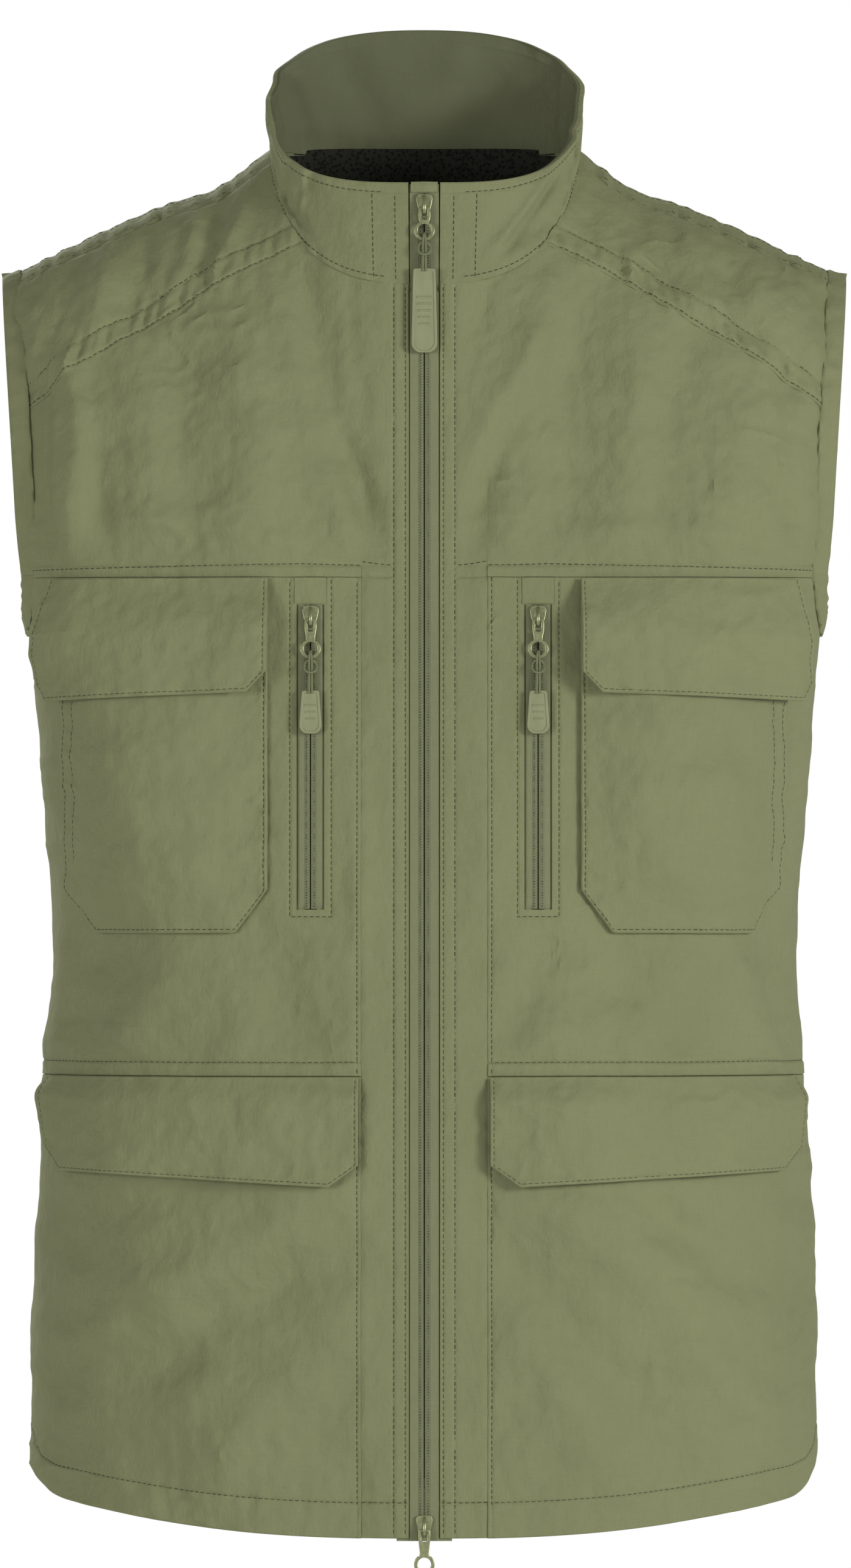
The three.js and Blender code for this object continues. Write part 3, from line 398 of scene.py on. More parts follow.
def sew(name, cloth, across, up, nodes, material, slot, body="vest", keep=None, held="hung", on=()):
    a, b = np.meshgrid(across, up)
    outer, normal = cloth.point(a, b)
    inner = outer - normal * cloth.thick
    rows, columns = a.shape
    kept = np.ones((rows - 1, columns - 1), bool)
    if keep is not None:
        middle_a = (a[1:, 1:] + a[:-1, :-1]) / 2
        kept = keep(middle_a, (b[1:, 1:] + b[:-1, :-1]) / 2)
    index = np.arange(rows * columns).reshape(rows, columns)
    corners = [index[:-1, :-1], index[:-1, 1:], index[1:, 1:], index[1:, :-1]]
    top = np.stack([c[kept] for c in corners], -1)
    r, c = rows // 2, columns // 2
    turn = np.cross(outer[r, c] - outer[r - 1, c - 1], outer[r, c - 1] - outer[r - 1, c])
    if np.dot(turn, normal[r, c]) < 0:
        top = top[:, ::-1]
    count = rows * columns
    padded = np.zeros((rows + 1, columns + 1), bool)
    padded[1:-1, 1:-1] = kept
    walls = []
    edges = ((0, 1, 0, -1), (1, 2, 1, 0), (2, 3, 0, 1), (3, 0, -1, 0))
    for first, second, shift_column, shift_row in edges:
        beyond = padded[1 + shift_row:rows + shift_row, 1 + shift_column:columns + shift_column]
        open_edge = kept & ~beyond
        p, q = corners[first][open_edge], corners[second][open_edge]
        walls.append(np.stack([q, p, p + count, q + count], -1))
    walls = np.concatenate(walls)
    if np.dot(turn, normal[r, c]) < 0:
        walls = walls[:, ::-1]
    faces = np.concatenate([top, top[:, ::-1] + count, walls])
    used = np.zeros(2 * count, bool)
    used[faces] = True
    renumber = np.cumsum(used) - 1
    verts = np.concatenate([outer.reshape(-1, 3), inner.reshape(-1, 3)])[used]
    piece = new_object(name, verts, renumber[faces], material)
    bare = cloth.bare(a, b)
    dress(piece, nodes, body)
    return piece


def dress(piece, nodes, body):
    if nodes:
        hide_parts(*nodes)
    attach(piece, body)


# ---- stitches ---------------------------------------------------------------------------------
thread = {}


def capsule():
    """A stitch's shape: along, across and out, from -1 to 1, and its faces."""
    places = [(-1, 0, 0)]
    for along in (-0.72, 0.72):
        places += [(along, math.cos(t), math.sin(t)) for t in np.arange(5) * 2 * math.pi / 5]
    places.append((1, 0, 0))
    faces = [(0, 1 + (k + 1) % 5, 1 + k) for k in range(5)]
    faces += [(1 + k, 1 + (k + 1) % 5, 6 + (k + 1) % 5, 6 + k) for k in range(5)]
    faces += [(11, 6 + k, 6 + (k + 1) % 5) for k in range(5)]
    return np.array(places), faces


CAPSULE, CAPSULE_FACES = capsule()


def add_stitches(middle, along, out, body, length, radius, slant=0.0):
    """Puts a stitch at each middle, lying along a direction on the cloth."""
    side = np.cross(along, out)
    if slant:
        leaning = along * math.cos(slant) + side * math.sin(slant)
        along, side = leaning, side * math.cos(slant) - along * math.sin(slant)
    shape = (CAPSULE[None, :, 0, None] * along[:, None] * length / 2
             + CAPSULE[None, :, 1, None] * side[:, None] * radius
             + CAPSULE[None, :, 2, None] * out[:, None] * radius)
    verts, faces, count = thread.setdefault(body, ([], [], [0]))
    verts.append((middle[:, None] + shape).reshape(-1, 3))
    for k in range(len(middle)):
        start = count[0] + 12 * k
        faces.extend([tuple(start + i for i in face) for face in CAPSULE_FACES])
    count[0] += 12 * len(middle)


def along_path(cloth, path, pitch):
    """Points every pitch millimetres along a path of (a, b) places on a cloth."""
    path = np.asarray(path, float)
    fine = np.array([lerp(*ends, t) for ends in zip(path, path[1:]) for t in np.linspace(0, 1, 90)])
    p, normal = cloth.point(fine[:, 0], fine[:, 1])
    travelled = np.insert(np.cumsum(np.linalg.norm(np.diff(p, axis=0), axis=1)), 0, 0)
    places = np.arange(pitch / 2, travelled[-1], pitch)
    if not len(places):
        return None

    def taken(values, shift=0.0):
        return np.stack([np.interp(places + shift, travelled, values[:, i]) for i in range(3)], -1)

    at, out = taken(p), taken(normal)
    along = taken(p, 0.8) - taken(p, -0.8)
    along /= np.maximum(np.linalg.norm(along, axis=1, keepdims=True), 1e-9)
    out -= along * np.sum(out * along, 1, keepdims=True)
    out /= np.linalg.norm(out, axis=1, keepdims=True)
    return at, along, out


def stitch(cloth, path, body="vest", pitch=3.1, length=2.3, radius=0.27, sink=0.04, slant=0.0):
    """Sews a row of stitches along a path of places on a cloth."""
    found = along_path(cloth, path, pitch)
    if found is not None:
        at, along, out = found
        add_stitches(at - out * sink, along, out, body, length, radius, slant)


# ---- materials --------------------------------------------------------------------------------
def linear(*rgb):
    """Linear colour of 0 to 255 screen values."""
    parts = [c / 255 for c in rgb]
    return tuple(c / 12.92 if c <= 0.04045 else ((c + 0.055) / 1.055) ** 2.4 for c in parts) + (1.0,)


class Nodes:
    """A material and short ways to add and join its nodes."""

    def __init__(self, name):
        self.material = bpy.data.materials.new(name)
        self.material.use_nodes = True
        self.tree = self.material.node_tree
        self.shader = self.tree.nodes["Principled BSDF"]

    def add(self, kind, **values):
        node = self.tree.nodes.new(kind)
        for key, value in values.items():
            setattr(node, key, value)
        return node

    def join(self, output, socket):
        self.tree.links.new(output, socket)

    def place(self, scale):
        """The object's own coordinates in metres, stretched."""
        where = self.add("ShaderNodeTexCoord")
        mapping = self.add("ShaderNodeMapping")
        mapping.inputs["Scale"].default_value = scale
        self.join(where.outputs["Object"], mapping.inputs["Vector"])
        return mapping.outputs["Vector"]

    def noise(self, scale, detail=3.0, roughness=0.5):
        """Noise with waves of 1 / scale metres in each direction."""
        node = self.add("ShaderNodeTexNoise")
        node.inputs["Scale"].default_value = 1.0
        node.inputs["Detail"].default_value = detail
        node.inputs["Roughness"].default_value = roughness
        self.join(self.place(scale), node.inputs["Vector"])
        return node.outputs["Fac"]

    def wave(self, scale, direction, distortion=0.0):
        node = self.add("ShaderNodeTexWave", bands_direction=direction)
        node.inputs["Scale"].default_value = 1.0
        node.inputs["Distortion"].default_value = distortion
        self.join(self.place(scale), node.inputs["Vector"])
        return node.outputs["Fac"]

    def maths(self, operation, a, b):
        node = self.add("ShaderNodeMath", operation=operation)
        for socket, value in zip(node.inputs, (a, b)):
            if isinstance(value, (int, float)):
                socket.default_value = value
            else:
                self.join(value, socket)
        return node.outputs[0]

    def mix(self, fac, low, high):
        node = self.add("ShaderNodeMix", data_type="RGBA")
        if isinstance(fac, (int, float)):
            node.inputs[0].default_value = fac
        else:
            self.join(fac, node.inputs[0])
        for socket, value in ((node.inputs[6], low), (node.inputs[7], high)):
            if isinstance(value, tuple):
                socket.default_value = value
            else:
                self.join(value, socket)
        return node.outputs[2]

    def spread(self, value, low, high):
        node = self.add("ShaderNodeMapRange")
        self.join(value, node.inputs["Value"])
        node.inputs["From Min"].default_value = low
        node.inputs["From Max"].default_value = high
        return node.outputs["Result"]

    def bump(self, height, distance, strength=1.0):
        node = self.add("ShaderNodeBump")
        node.inputs["Distance"].default_value = distance
        node.inputs["Strength"].default_value = strength
        self.join(height, node.inputs["Height"])
        self.join(node.outputs["Normal"], self.shader.inputs["Normal"])

    def colour(self, fac, low, high):
        self.join(self.mix(fac, low, high), self.shader.inputs["Base Color"])

    def set(self, **values):
        for key, value in values.items():
            self.shader.inputs[key.replace("_", " ")].default_value = value


def shade(rgb, factor):
    return tuple(min(1.0, c * factor) for c in rgb[:3]) + (1.0,)


def weave(name, rgb, roughness=0.82, contrast=0.06, pitch=0.00042, slub=0.10, sheen=0.25, crinkle=0.0):
    """Woven cloth: crossing threads, uneven upright slubs, fine crinkles and a soft sheen."""
    n = Nodes(name)
    warp = n.wave((0.5 / pitch, 0.5 / pitch, 0), "DIAGONAL", 0.0)
    weft = n.wave((0, 0, 1.0 / pitch), "Z", 0.0)
    cross = n.maths("MULTIPLY", warp, weft)
    slubs = n.noise((1500, 1500, 110), 3.0, 0.6)
    picks = n.noise((120, 120, 1700), 2.0, 0.6)
    cloudy = n.noise((14, 14, 9), 3.0, 0.55)
    threads = n.maths("ADD", slubs, n.maths("MULTIPLY", picks, 0.7))
    tone = n.spread(threads, 0.5, 1.2)
    base = n.mix(n.spread(cloudy, 0.3, 0.7), shade(rgb, 1 - contrast), shade(rgb, 1 + contrast))
    worn = n.mix(tone, shade(rgb, 1 - slub), shade(rgb, 1 + slub))
    n.colour(0.5, base, worn)
    height = n.maths("ADD", n.maths("MULTIPLY", cross, 0.5), threads)
    crinkles = n.maths("MULTIPLY", n.noise((110, 110, 80), 4.0, 0.55), crinkle)
    n.bump(n.maths("ADD", height, crinkles), 0.00012, 0.55)
    n.set(Roughness=roughness, Specular_IOR_Level=0.35, Sheen_Weight=sheen, Sheen_Roughness=0.45,
          Sheen_Tint=shade(rgb, 2.4))
    return n.material


def mesh_cloth(name, rgb):
    """Open knitted mesh, with painted shade in the openings between its threads."""
    n = Nodes(name)
    cells = n.add("ShaderNodeTexVoronoi", feature="F1")
    cells.inputs["Scale"].default_value = 1.0
    n.join(n.place((520, 520, 520)), cells.inputs["Vector"])
    # the openings are painted near black: painted shade seen through the holes, with the threads lighter
    hole = n.spread(cells.outputs["Distance"], 0.25, 0.55)
    n.colour(hole, shade(rgb, 0.35), shade(rgb, 1.3))
    n.bump(hole, 0.0003, 0.8)
    n.set(Roughness=0.95, Specular_IOR_Level=0.2)
    return n.material


def fuzz(name, rgb):
    """Hook or loop tape: a dense pile of short loops."""
    n = Nodes(name)
    pile = n.noise((1600, 1600, 1600), 4.0, 0.7)
    n.colour(n.spread(pile, 0.35, 0.65), shade(rgb, 0.6), shade(rgb, 1.4))
    n.bump(pile, 0.0006, 1.0)
    n.set(Roughness=1.0, Sheen_Weight=0.4)
    return n.material


def painted_metal(name, rgb):
    """Die-cast metal under a thin satin paint, worn brighter on its high spots."""
    n = Nodes(name)
    spots = n.noise((700, 700, 700), 4.0, 0.6)
    n.colour(n.spread(spots, 0.4, 0.75), rgb, shade(rgb, 1.5))
    n.join(n.maths("ADD", 0.24, n.maths("MULTIPLY", spots, 0.22)), n.shader.inputs["Roughness"])
    n.bump(n.noise((2500, 2500, 2500), 2.0, 0.5), 0.00004, 0.5)
    n.set(Metallic=0.75, Specular_IOR_Level=0.5)
    return n.material


def moulded_rubber(name, rgb):
    """Soft matt rubber with a fine moulded grain."""
    n = Nodes(name)
    grain = n.noise((3000, 3000, 3000), 2.0, 0.6)
    cloudy = n.noise((180, 180, 90), 2.0, 0.5)
    n.colour(n.spread(cloudy, 0.3, 0.7), shade(rgb, 0.93), shade(rgb, 1.07))
    n.bump(grain, 0.00003, 0.6)
    n.set(Roughness=0.52, Specular_IOR_Level=0.4)
    return n.material


shell = weave("shell_cloth", linear(124, 128, 91), contrast=0.08, crinkle=30.0)
# the collar's facing is the same shell fabric painted darker: painted shade inside the collar
shaded_shell = weave("collar_facing_painted_shade", linear(96, 99, 72), crinkle=12.0)
tape = weave("zip_tape_cloth", linear(120, 124, 92), roughness=0.9, pitch=0.0007, slub=0.16, sheen=0.1)
thread_cloth = weave("sewing_thread", linear(64, 67, 45), roughness=0.7, pitch=0.0003, slub=0.2, sheen=0.3)
cord_cloth = weave("cord_cloth", linear(112, 116, 84), roughness=0.75, pitch=0.0006, slub=0.25, sheen=0.2)
coil = weave("zip_coil", linear(112, 116, 84), roughness=0.5, pitch=0.0006, slub=0.12, sheen=0.0)
dark_mesh = mesh_cloth("lining_mesh", linear(34, 35, 28))
pile = fuzz("hook_and_loop", linear(60, 63, 46))
metal = painted_metal("painted_metal", linear(138, 142, 106))
rubber = moulded_rubber("puller_rubber", linear(134, 138, 103))

# finishes: a material and its slot
SHELL, LINING, PILE = (shell, "shell_fabric"), (dark_mesh, "lining_mesh"), (pile, "hook_and_loop")
COIL, TAPE = (coil, "zip_nylon"), (tape, "zip_tape")


def panel(node, cloth, across, up, finish=SHELL, **more):
    """Sews the one piece of cloth that replaces a node."""
    return sew(f"{node}_cloth", cloth, across, up, [node], *finish, **more)


# ---- the front --------------------------------------------------------------------------------
SIDES = ((1, "left"), (-1, "right"))


def front_point(s, z):
    """s is x as far as FRONT_END, and past it goes round to the side seam or the armhole."""
    x = np.minimum(s, FRONT_END)
    start = angle_of_x(x, z)
    end = side_angle(z, front_depth(z), ARMHOLE_FRONT)
    return ring(lerp(start, end, np.maximum(s - FRONT_END, 0) / SIDE_SPAN), z)


SIDE_SEAM = FRONT_END + SIDE_SPAN
NEAR_SEAM = SIDE_SEAM - np.array([0.02, 0.1, 0.3, 0.7, 1.3])


def lower_point(s, t):
    """t runs from 0 at the hem to WAIST_Z at the seam."""
    low = hem_z(front_point(s, WAIST_Z / 6 + 0 * s)[..., 0])
    return front_point(s, low + (WAIST_Z - 0.2 - low) * t / WAIST_Z)


def lower_detail(side):
    seed = 1 if side > 0 else 2

    def detail(s, t, p):
        out = turned(t, 1.0) + turned(WAIST_Z - t, 0.5) + turned(s - PLACKET_OUT, 0.6)
        out += groove(t - HEM_ROW) + pucker(t - HEM_ROW, s, 0.32, 9, seed) + groove(s - FRONT_ROW, 0.25)
        out += (pucker(s - FRONT_ROW, t, 0.16, 5, seed + 3)
                + 0.35 * smooth(t, HEM_ROW + 1.2, HEM_ROW - 0.4))
        return out

    return detail


def middle_detail(side):
    seed = 5 if side > 0 else 6

    def detail(s, z, p):
        box = np.maximum(np.abs(s - SLIT) - SLIT_HALF - BOX_ROW, SLIT_FOOT - BOX_ROW - z)
        out = turned(z - WAIST_Z, 0.5) + turned(YOKE_Z - z, 0.5) + turned(s - PLACKET_OUT, 0.6)
        out += groove(z - WAIST_ROW) + pucker(z - WAIST_ROW + 1, s, 0.22, 6, seed)
        out += 0.4 * smooth(-z, -WAIST_ROW - 0.6, -WAIST_ROW + 0.8)
        out += groove(s - FRONT_ROW, 0.25) + pucker(s - FRONT_ROW, z, 0.14, 5, seed + 3)
        out += groove(box, 0.3) + pucker(box, s + z, 0.12, 4, seed + 5)
        edge = np.maximum(np.abs(s - SLIT) - SLIT_HALF, SLIT_FOOT - z)
        return out + turned(edge, 0.7) * (edge > 0)

    return detail


def chest_point(x_share, v):
    """v runs from 0 at the yoke seam to CHEST_TALL, x_share from the placket to the armhole."""
    share = v / CHEST_TALL
    outer = armhole_x(lerp(YOKE_Z, float(front_seam_z(SHOULDER)), share))
    x = lerp(PLACKET_OUT, outer, x_share / CHEST_RUN)
    top = np.where(x < SEAM_NECK_X, neck_front_z(x) - 0.1, front_seam_z(x) + 0.5)
    return on_front(x, lerp(YOKE_Z, top, share))


def chest_detail(side):
    seed = 12 if side > 0 else 13

    def detail(a, v, p):
        height = p[..., 2] - YOKE_Z
        below = CHEST_TALL - v
        out = turned(v, 0.5) + turned(below, 0.5) + turned(CHEST_LAP - a, 0.6)
        out += (groove(height - YOKE_ROW) + pucker(height - 5, a, 0.24, 6, seed)
                + 0.4 * smooth(-height, -7.6, -5.2))
        return out + pucker(below, a, 0.5, 6, seed + 2) * smooth(a, 25, 45)

    return detail


def shoulder_point(u, v):
    """u runs from the neck to the armhole, v from the front seam to the rear one."""
    share = np.clip(v / SHOULDER_TALL, 0, 1.001)
    low_x = lerp(SEAM_NECK_X, SEAM_END_X, u / SHOULDER_RUN)
    low_z = front_seam_z(low_x) - 0.3
    high_x = lerp(NECK + 0.8, float(armhole_x(TIP_Z)), u / SHOULDER_RUN)
    high_z = crest_z(high_x) - REAR_DROP - 0.2
    x = lerp(low_x, high_x, share ** 0.7)
    z = lerp(low_z, high_z, v / SHOULDER_TALL)
    cut = np.where(x < NECK, np.minimum(z, neck_front_z(np.minimum(x, NECK)) + 0.2), z)
    return on_front(x, cut)


def shoulder_detail(side):
    seed = 20 if side > 0 else 21

    def detail(u, v, p):
        up = (p[..., 2] - front_seam_z(np.abs(p[..., 0]))) * 0.86
        out = turned(v, 0.6) + turned(SHOULDER_TALL - v, 0.5) + turned(SHOULDER_LAP - u, 0.6)
        out += (groove(up - 1.6, 0.4) + groove(up - 10.5, 0.5)
                + pucker(up - 6, 1.35 * u + 0.8 * up, 1.3, 5, seed))
        out += 0.45 * smooth(-up, -11.5, -9.5)
        lines = noise(u * 1.6, v * 0.5, SOFT)
        return out + 0.9 * lines * smooth(up, 9, 20) * smooth(SHOULDER_TALL - v, 2, 10)

    return detail


def in_slit(s, z):
    """Where the front keeps its cloth: all but the pocket zip's slit."""
    return ~((np.abs(s - SLIT) < SLIT_HALF) & (z > SLIT_FOOT))


def seam_height(u):
    """How far the rear shoulder seam is above the front one."""
    x = lerp(SEAM_NECK_X, SEAM_END_X, u / SHOULDER_RUN)
    return crest_z(x) - 7 - front_seam_z(x)


BOX_IN, BOX_OUT, BOX_FOOT = SLIT - SLIT_HALF - BOX_ROW, SLIT + SLIT_HALF + BOX_ROW, SLIT_FOOT - BOX_ROW
for side, hand in SIDES:
    lower = Cloth(lower_point, side, detail=lower_detail(side))
    lower_across = np.union1d(grid(PLACKET_OUT, SIDE_SEAM, 2.4, FRONT_ROW), NEAR_SEAM)
    panel(f"front_lower_{hand}", lower, lower_across, grid(0, WAIST_Z, 2.2, 1, HEM_ROW, WAIST_Z - 1))
    stitch(lower, [(FRONT_ROW, 16), (FRONT_ROW, WAIST_Z - 1)])
    stitch(lower, [(PLACKET_OUT, HEM_ROW), (SIDE_SEAM, HEM_ROW)])
    middle = Cloth(front_point, side, detail=middle_detail(side))
    heights = np.unique(np.concatenate([
        grid(WAIST_Z, YOKE_Z - 0.2, 2.2, WAIST_Z + 1, WAIST_ROW, BOX_FOOT, SLIT_FOOT),
        np.arange(UNDERARM_Z - 1, UNDERARM_Z + 12, 0.8)]))
    middle_across = np.union1d(NEAR_SEAM, grid(
        PLACKET_OUT, SIDE_SEAM, 2.4, FRONT_ROW, BOX_IN, SLIT - SLIT_HALF, SLIT + SLIT_HALF, BOX_OUT))
    panel(f"front_middle_{hand}", middle, middle_across, heights, keep=in_slit)
    stitch(middle, [(FRONT_ROW, WAIST_Z + 1), (FRONT_ROW, YOKE_Z - 1)])
    stitch(middle, [(PLACKET_OUT, WAIST_ROW), (SIDE_SEAM, WAIST_ROW)])
    stitch(middle, [(BOX_IN, YOKE_Z - 1), (BOX_IN, BOX_FOOT), (BOX_OUT, BOX_FOOT), (BOX_OUT, YOKE_Z - 1)])
    chest = Cloth(chest_point, side, detail=chest_detail(side))
    panel(f"front_chest_{hand}", chest, grid(0, CHEST_LAP, 2.0, CHEST_RUN),
          grid(0, CHEST_TALL, 1.9, 1, YOKE_ROW, CHEST_TALL - 1))
    stitch(chest, [(0, YOKE_ROW), (CHEST_RUN, YOKE_ROW)])
    shoulder = Cloth(shoulder_point, side, lift=0.45, detail=shoulder_detail(side))
    panel(f"shoulder_panel_{hand}", shoulder, grid(-4, SHOULDER_LAP, 1.6), grid(0, SHOULDER_TALL, 1.1, 2))
    seam_v = [(u, SHOULDER_TALL * 1.9 / seam_height(u)) for u in range(4, SHOULDER_RUN + 1, 8)]
    stitch(shoulder, seam_v)
    stitch(shoulder, [(u, v * 6.3) for u, v in seam_v])


# ---- plackets ---------------------------------------------------------------------------------
def placket_point(x, t):
    low = hem_z(x) + 0.2
    z = low + (neck_front_z(x) - SEAM - low) * t / NECK_Z
    return on_front(x, z)


def placket_detail(side):
    seed = 30 if side > 0 else 31

    def detail(x, t, p):
        z = p[..., 2]
        low = smooth(-z, -YOKE_Z - 1, -YOKE_Z + 1)
        out = turned(x - PLACKET_IN, 0.5) + 0.35 * smooth(-x, -16.2, -15.0)
        out += turned(PLACKET_OUT - x, 0.6) * low + turned(t, 1.0)
        out += groove(x - PLACKET_ROWS[0], 0.25) + groove(x - PLACKET_ROWS[1], 0.35)
        out += pucker(x - 15, z, 0.14, 6, seed)
        across = smooth(x, 15.6, 17)
        out += across * (groove(z - YOKE_Z, 0.5, 0.6) + groove(z - YOKE_Z - YOKE_ROW, 0.3))
        return out + groove(z - HEM_ROW) + pucker(z - HEM_ROW, x, 0.3, 8, seed)

    return detail


for side, hand in SIDES:
    placket = Cloth(placket_point, side, detail=placket_detail(side))
    panel(f"placket_{hand}", placket, grid(PLACKET_IN, PLACKET_OUT, 1.8, PLACKET_IN + 1, *PLACKET_ROWS),
          grid(0, NECK_Z, 2.2, 1, HEM_ROW, YOKE_Z, YOKE_Z + YOKE_ROW))
    for row in PLACKET_ROWS:
        stitch(placket, [(row, 2), (row, NECK_Z - 1)])
    stitch(placket, [(16.5, YOKE_Z + YOKE_ROW), (PLACKET_OUT, YOKE_Z + YOKE_ROW)])
    stitch(placket, [(8, HEM_ROW), (PLACKET_OUT, HEM_ROW)])


# ---- chest pockets ----------------------------------------------------------------------------
def pocket_foot(u):
    return POCKET_FOOT + 22 * np.clip((0.16 - u) / 0.16, 0, 1) + 24 * np.clip((u - 0.84) / 0.16, 0, 1)


def pocket_point(s, t):
    """s is x from POCKET_IN to POCKET_OUT, and t runs up from the foot to the mouth."""
    z = lerp(pocket_foot((s - POCKET_IN) / (POCKET_OUT - POCKET_IN)), POCKET_TOP, t / POCKET_TALL)
    return on_front(s, z)


def pocket_edge(s, t):
    """The distance in from the pocket's sides and foot."""
    return np.minimum(np.minimum(s - POCKET_IN, POCKET_OUT - s), t)


def pocket_out(s, t):
    """The bellows stand the pocket's front off the body."""
    edge = pocket_edge(s, t)
    wall = 1 - (1 - np.clip(edge / 1.6, 0, 1)) ** 3
    crown = lerp(2.2, BELLOWS, smooth(edge, -2, 40))
    top = lerp(crown, 4.5, smooth(t, POCKET_TALL - 50, POCKET_TALL))
    return lerp(1.4 * LAYER, top, wall) + CLOTH


def pocket_detail(side):
    seed = 40 if side > 0 else 41

    def detail(s, t, p):
        edge = pocket_edge(s, t)
        out = groove(edge - 1.9, 0.3) + pucker(edge - 2, s + t, 0.3, 4, seed)
        out += groove(s - POCKET_OUT + 7, 0.3) + pucker(s - POCKET_OUT + 7, t, 0.35, 4, seed + 3)
        out += 0.45 * noise(s + 40 * side, t * 0.6, SOFT) * smooth(edge, 2, 20)
        return out + groove(POCKET_TALL - t - 8, 0.3) + turned(POCKET_TALL - t, 0.7)

    return detail


for side, hand in SIDES:
    pocket = Cloth(pocket_point, side, lift=pocket_out, detail=pocket_detail(side))
    across = np.unique(np.concatenate([
        grid(POCKET_IN, POCKET_OUT, 1.8, POCKET_IN + 2, POCKET_OUT - 2, POCKET_OUT - 7),
        POCKET_IN + np.arange(0, 1.5, 0.25), POCKET_OUT - np.arange(0, 1.5, 0.25)]))
    up = np.unique(np.concatenate([grid(0, POCKET_TALL, 2.0, 2, POCKET_TALL - 8), np.arange(0, 1.5, 0.25)]))
    panel(f"chest_pocket_{hand}", pocket, across, up)
    wide, left_row, right_row = POCKET_OUT - POCKET_IN, POCKET_IN + 1.9, POCKET_OUT - 1.9
    stitch(pocket, [(left_row, POCKET_TALL - 2), (left_row, 1.9), (POCKET_IN + 0.16 * wide, 1.9),
                    (POCKET_IN + 0.84 * wide, 1.9), (right_row, 1.9), (right_row, POCKET_TALL - 2)])
    stitch(pocket, [(POCKET_OUT - 7, 150), (POCKET_OUT - 7, 24)])


# ---- flaps ------------------------------------------------------------------------------------
class Flap:
    """A flap's outline on the body: inner and outer edges, top, drop and the rise of its far end.

    level(s, t) is its height off the body, and each cut the width and height of a lower corner.
    """

    def __init__(self, inner, outer, top, drop, rise, level, near_cut, far_cut):
        self.inner, self.outer, self.top, self.drop, self.rise = inner, outer, top, drop, rise
        self.level, self.near_cut, self.far_cut = level, near_cut, far_cut
        self.wide = outer - inner

    def behind(self, s, t):
        """The lift of a patch on the flap's back."""
        return self.level(s, t) - CLOTH - 0.1

    def foot(self, u):
        (near, near_high), (far, far_high) = self.near_cut, self.far_cut
        cut = near_high * np.clip(1 - u * self.wide / near, 0, 1)
        cut = cut + far_high * np.clip(1 - (1 - u) * self.wide / far, 0, 1)
        return self.top - self.drop + self.rise * u + cut

    def at(self, s, t):
        """s runs in millimetres across, t from 0 at the foot to drop at the seam."""
        u = s / self.wide
        z = lerp(self.foot(u), self.top, t / self.drop)
        return on_front(lerp(self.inner, self.outer, u), z)

    def detail(self, seed):
        def detail(s, t, p):
            edge = np.minimum(np.minimum(s, self.wide - s), t)
            out = turned(edge, 0.9) + groove(edge - 1.8, 0.18) + pucker(edge - 2, s + t, 0.2, 4, seed)
            waves = noise(s * 0.7, t * 0.5 + 60 * seed, SOFT)
            out += 0.55 * waves * smooth(self.drop - t, 3, 20)
            out += noise(s * 0.55 + 90 * seed, 0 * t, SOFT) * smooth(self.drop - t, 14, self.drop)
            return out + pucker(self.drop - t, s, 0.35, 5, seed + 1)

        return detail


CHEST_DROP, LOWER_DROP = 58, 56


def chest_lift(s, t):
    return lerp(1.8, BELLOWS + 4.4, smooth(CHEST_DROP - t, -6, 30)) + CLOTH


def lower_lift(s, t):
    return lerp(1.4, 5.2, smooth(LOWER_DROP - t, -2, 16)) + CLOTH


def flap_seed(kind, side):
    return 50 + side + (4 if kind == "chest" else 9)


chest_flap = Flap(POCKET_IN, POCKET_OUT + 6, YOKE_Z - 1, CHEST_DROP, -3, chest_lift, (10, 10.5), (6, 12))
lower_flap = Flap(PLACKET_OUT + 1, WAIST - 2, WAIST_Z - 1, LOWER_DROP, 9, lower_lift, (15, 12), (9, 13))
for kind, flap in (("chest", chest_flap), ("lower", lower_flap)):
    for side, hand in SIDES:
        name = f"{kind}_flap_{hand}"
        wide, near, far = flap.wide, flap.near_cut[0], flap.wide - flap.far_cut[0]
        cloth = Cloth(flap.at, side, lift=flap.level, detail=flap.detail(flap_seed(kind, side)))
        panel(name, cloth, grid(0, wide, 1.8, 0.9, 1.8, near, far, wide - 1.8, wide - 0.9),
              grid(0, flap.drop, 1.7, 0.9, 1.8, flap.drop - 1), body=name)
        stitch(cloth, [(1.8, flap.drop - 1), (1.8, 1.8), (near, 1.8), (far, 1.8),
                       (wide - 1.8, 1.8), (wide - 1.8, flap.drop - 1)], body=name, radius=0.2)


# ---- hook and loop patches --------------------------------------------------------------------
def patch_at(flap):
    """Places on the body under a flap: s across from its inner edge, t the height."""
    return lambda s, t: on_front(flap.inner + s, t)


# each loop patch: how far below the flap's top it starts and ends, and its lift off the body
for kind, flap, high, low, ground in (("chest", chest_flap, 29, 45, BELLOWS + CLOTH + 0.9),
                                      ("lower", lower_flap, 22, 38, 1.6)):
    across = grid(0.16 * flap.wide, 0.84 * flap.wide, 2.5)
    for side, hand in SIDES:
        hook = Cloth(flap.at, side, lift=flap.behind, thick=0.6, detail=flap.detail(flap_seed(kind, side)))
        panel(f"{kind}_hook_patch_{hand}", hook, across, grid(11, 27, 2), PILE,
              body=f"{kind}_flap_{hand}", on=[f"{kind}_flap_{hand}_cloth"])
        loop = Cloth(patch_at(flap), side, lift=ground, thick=0.7)
        panel(f"{kind}_loop_patch_{hand}", loop, across, grid(flap.top - low, flap.top - high, 2.5), PILE)


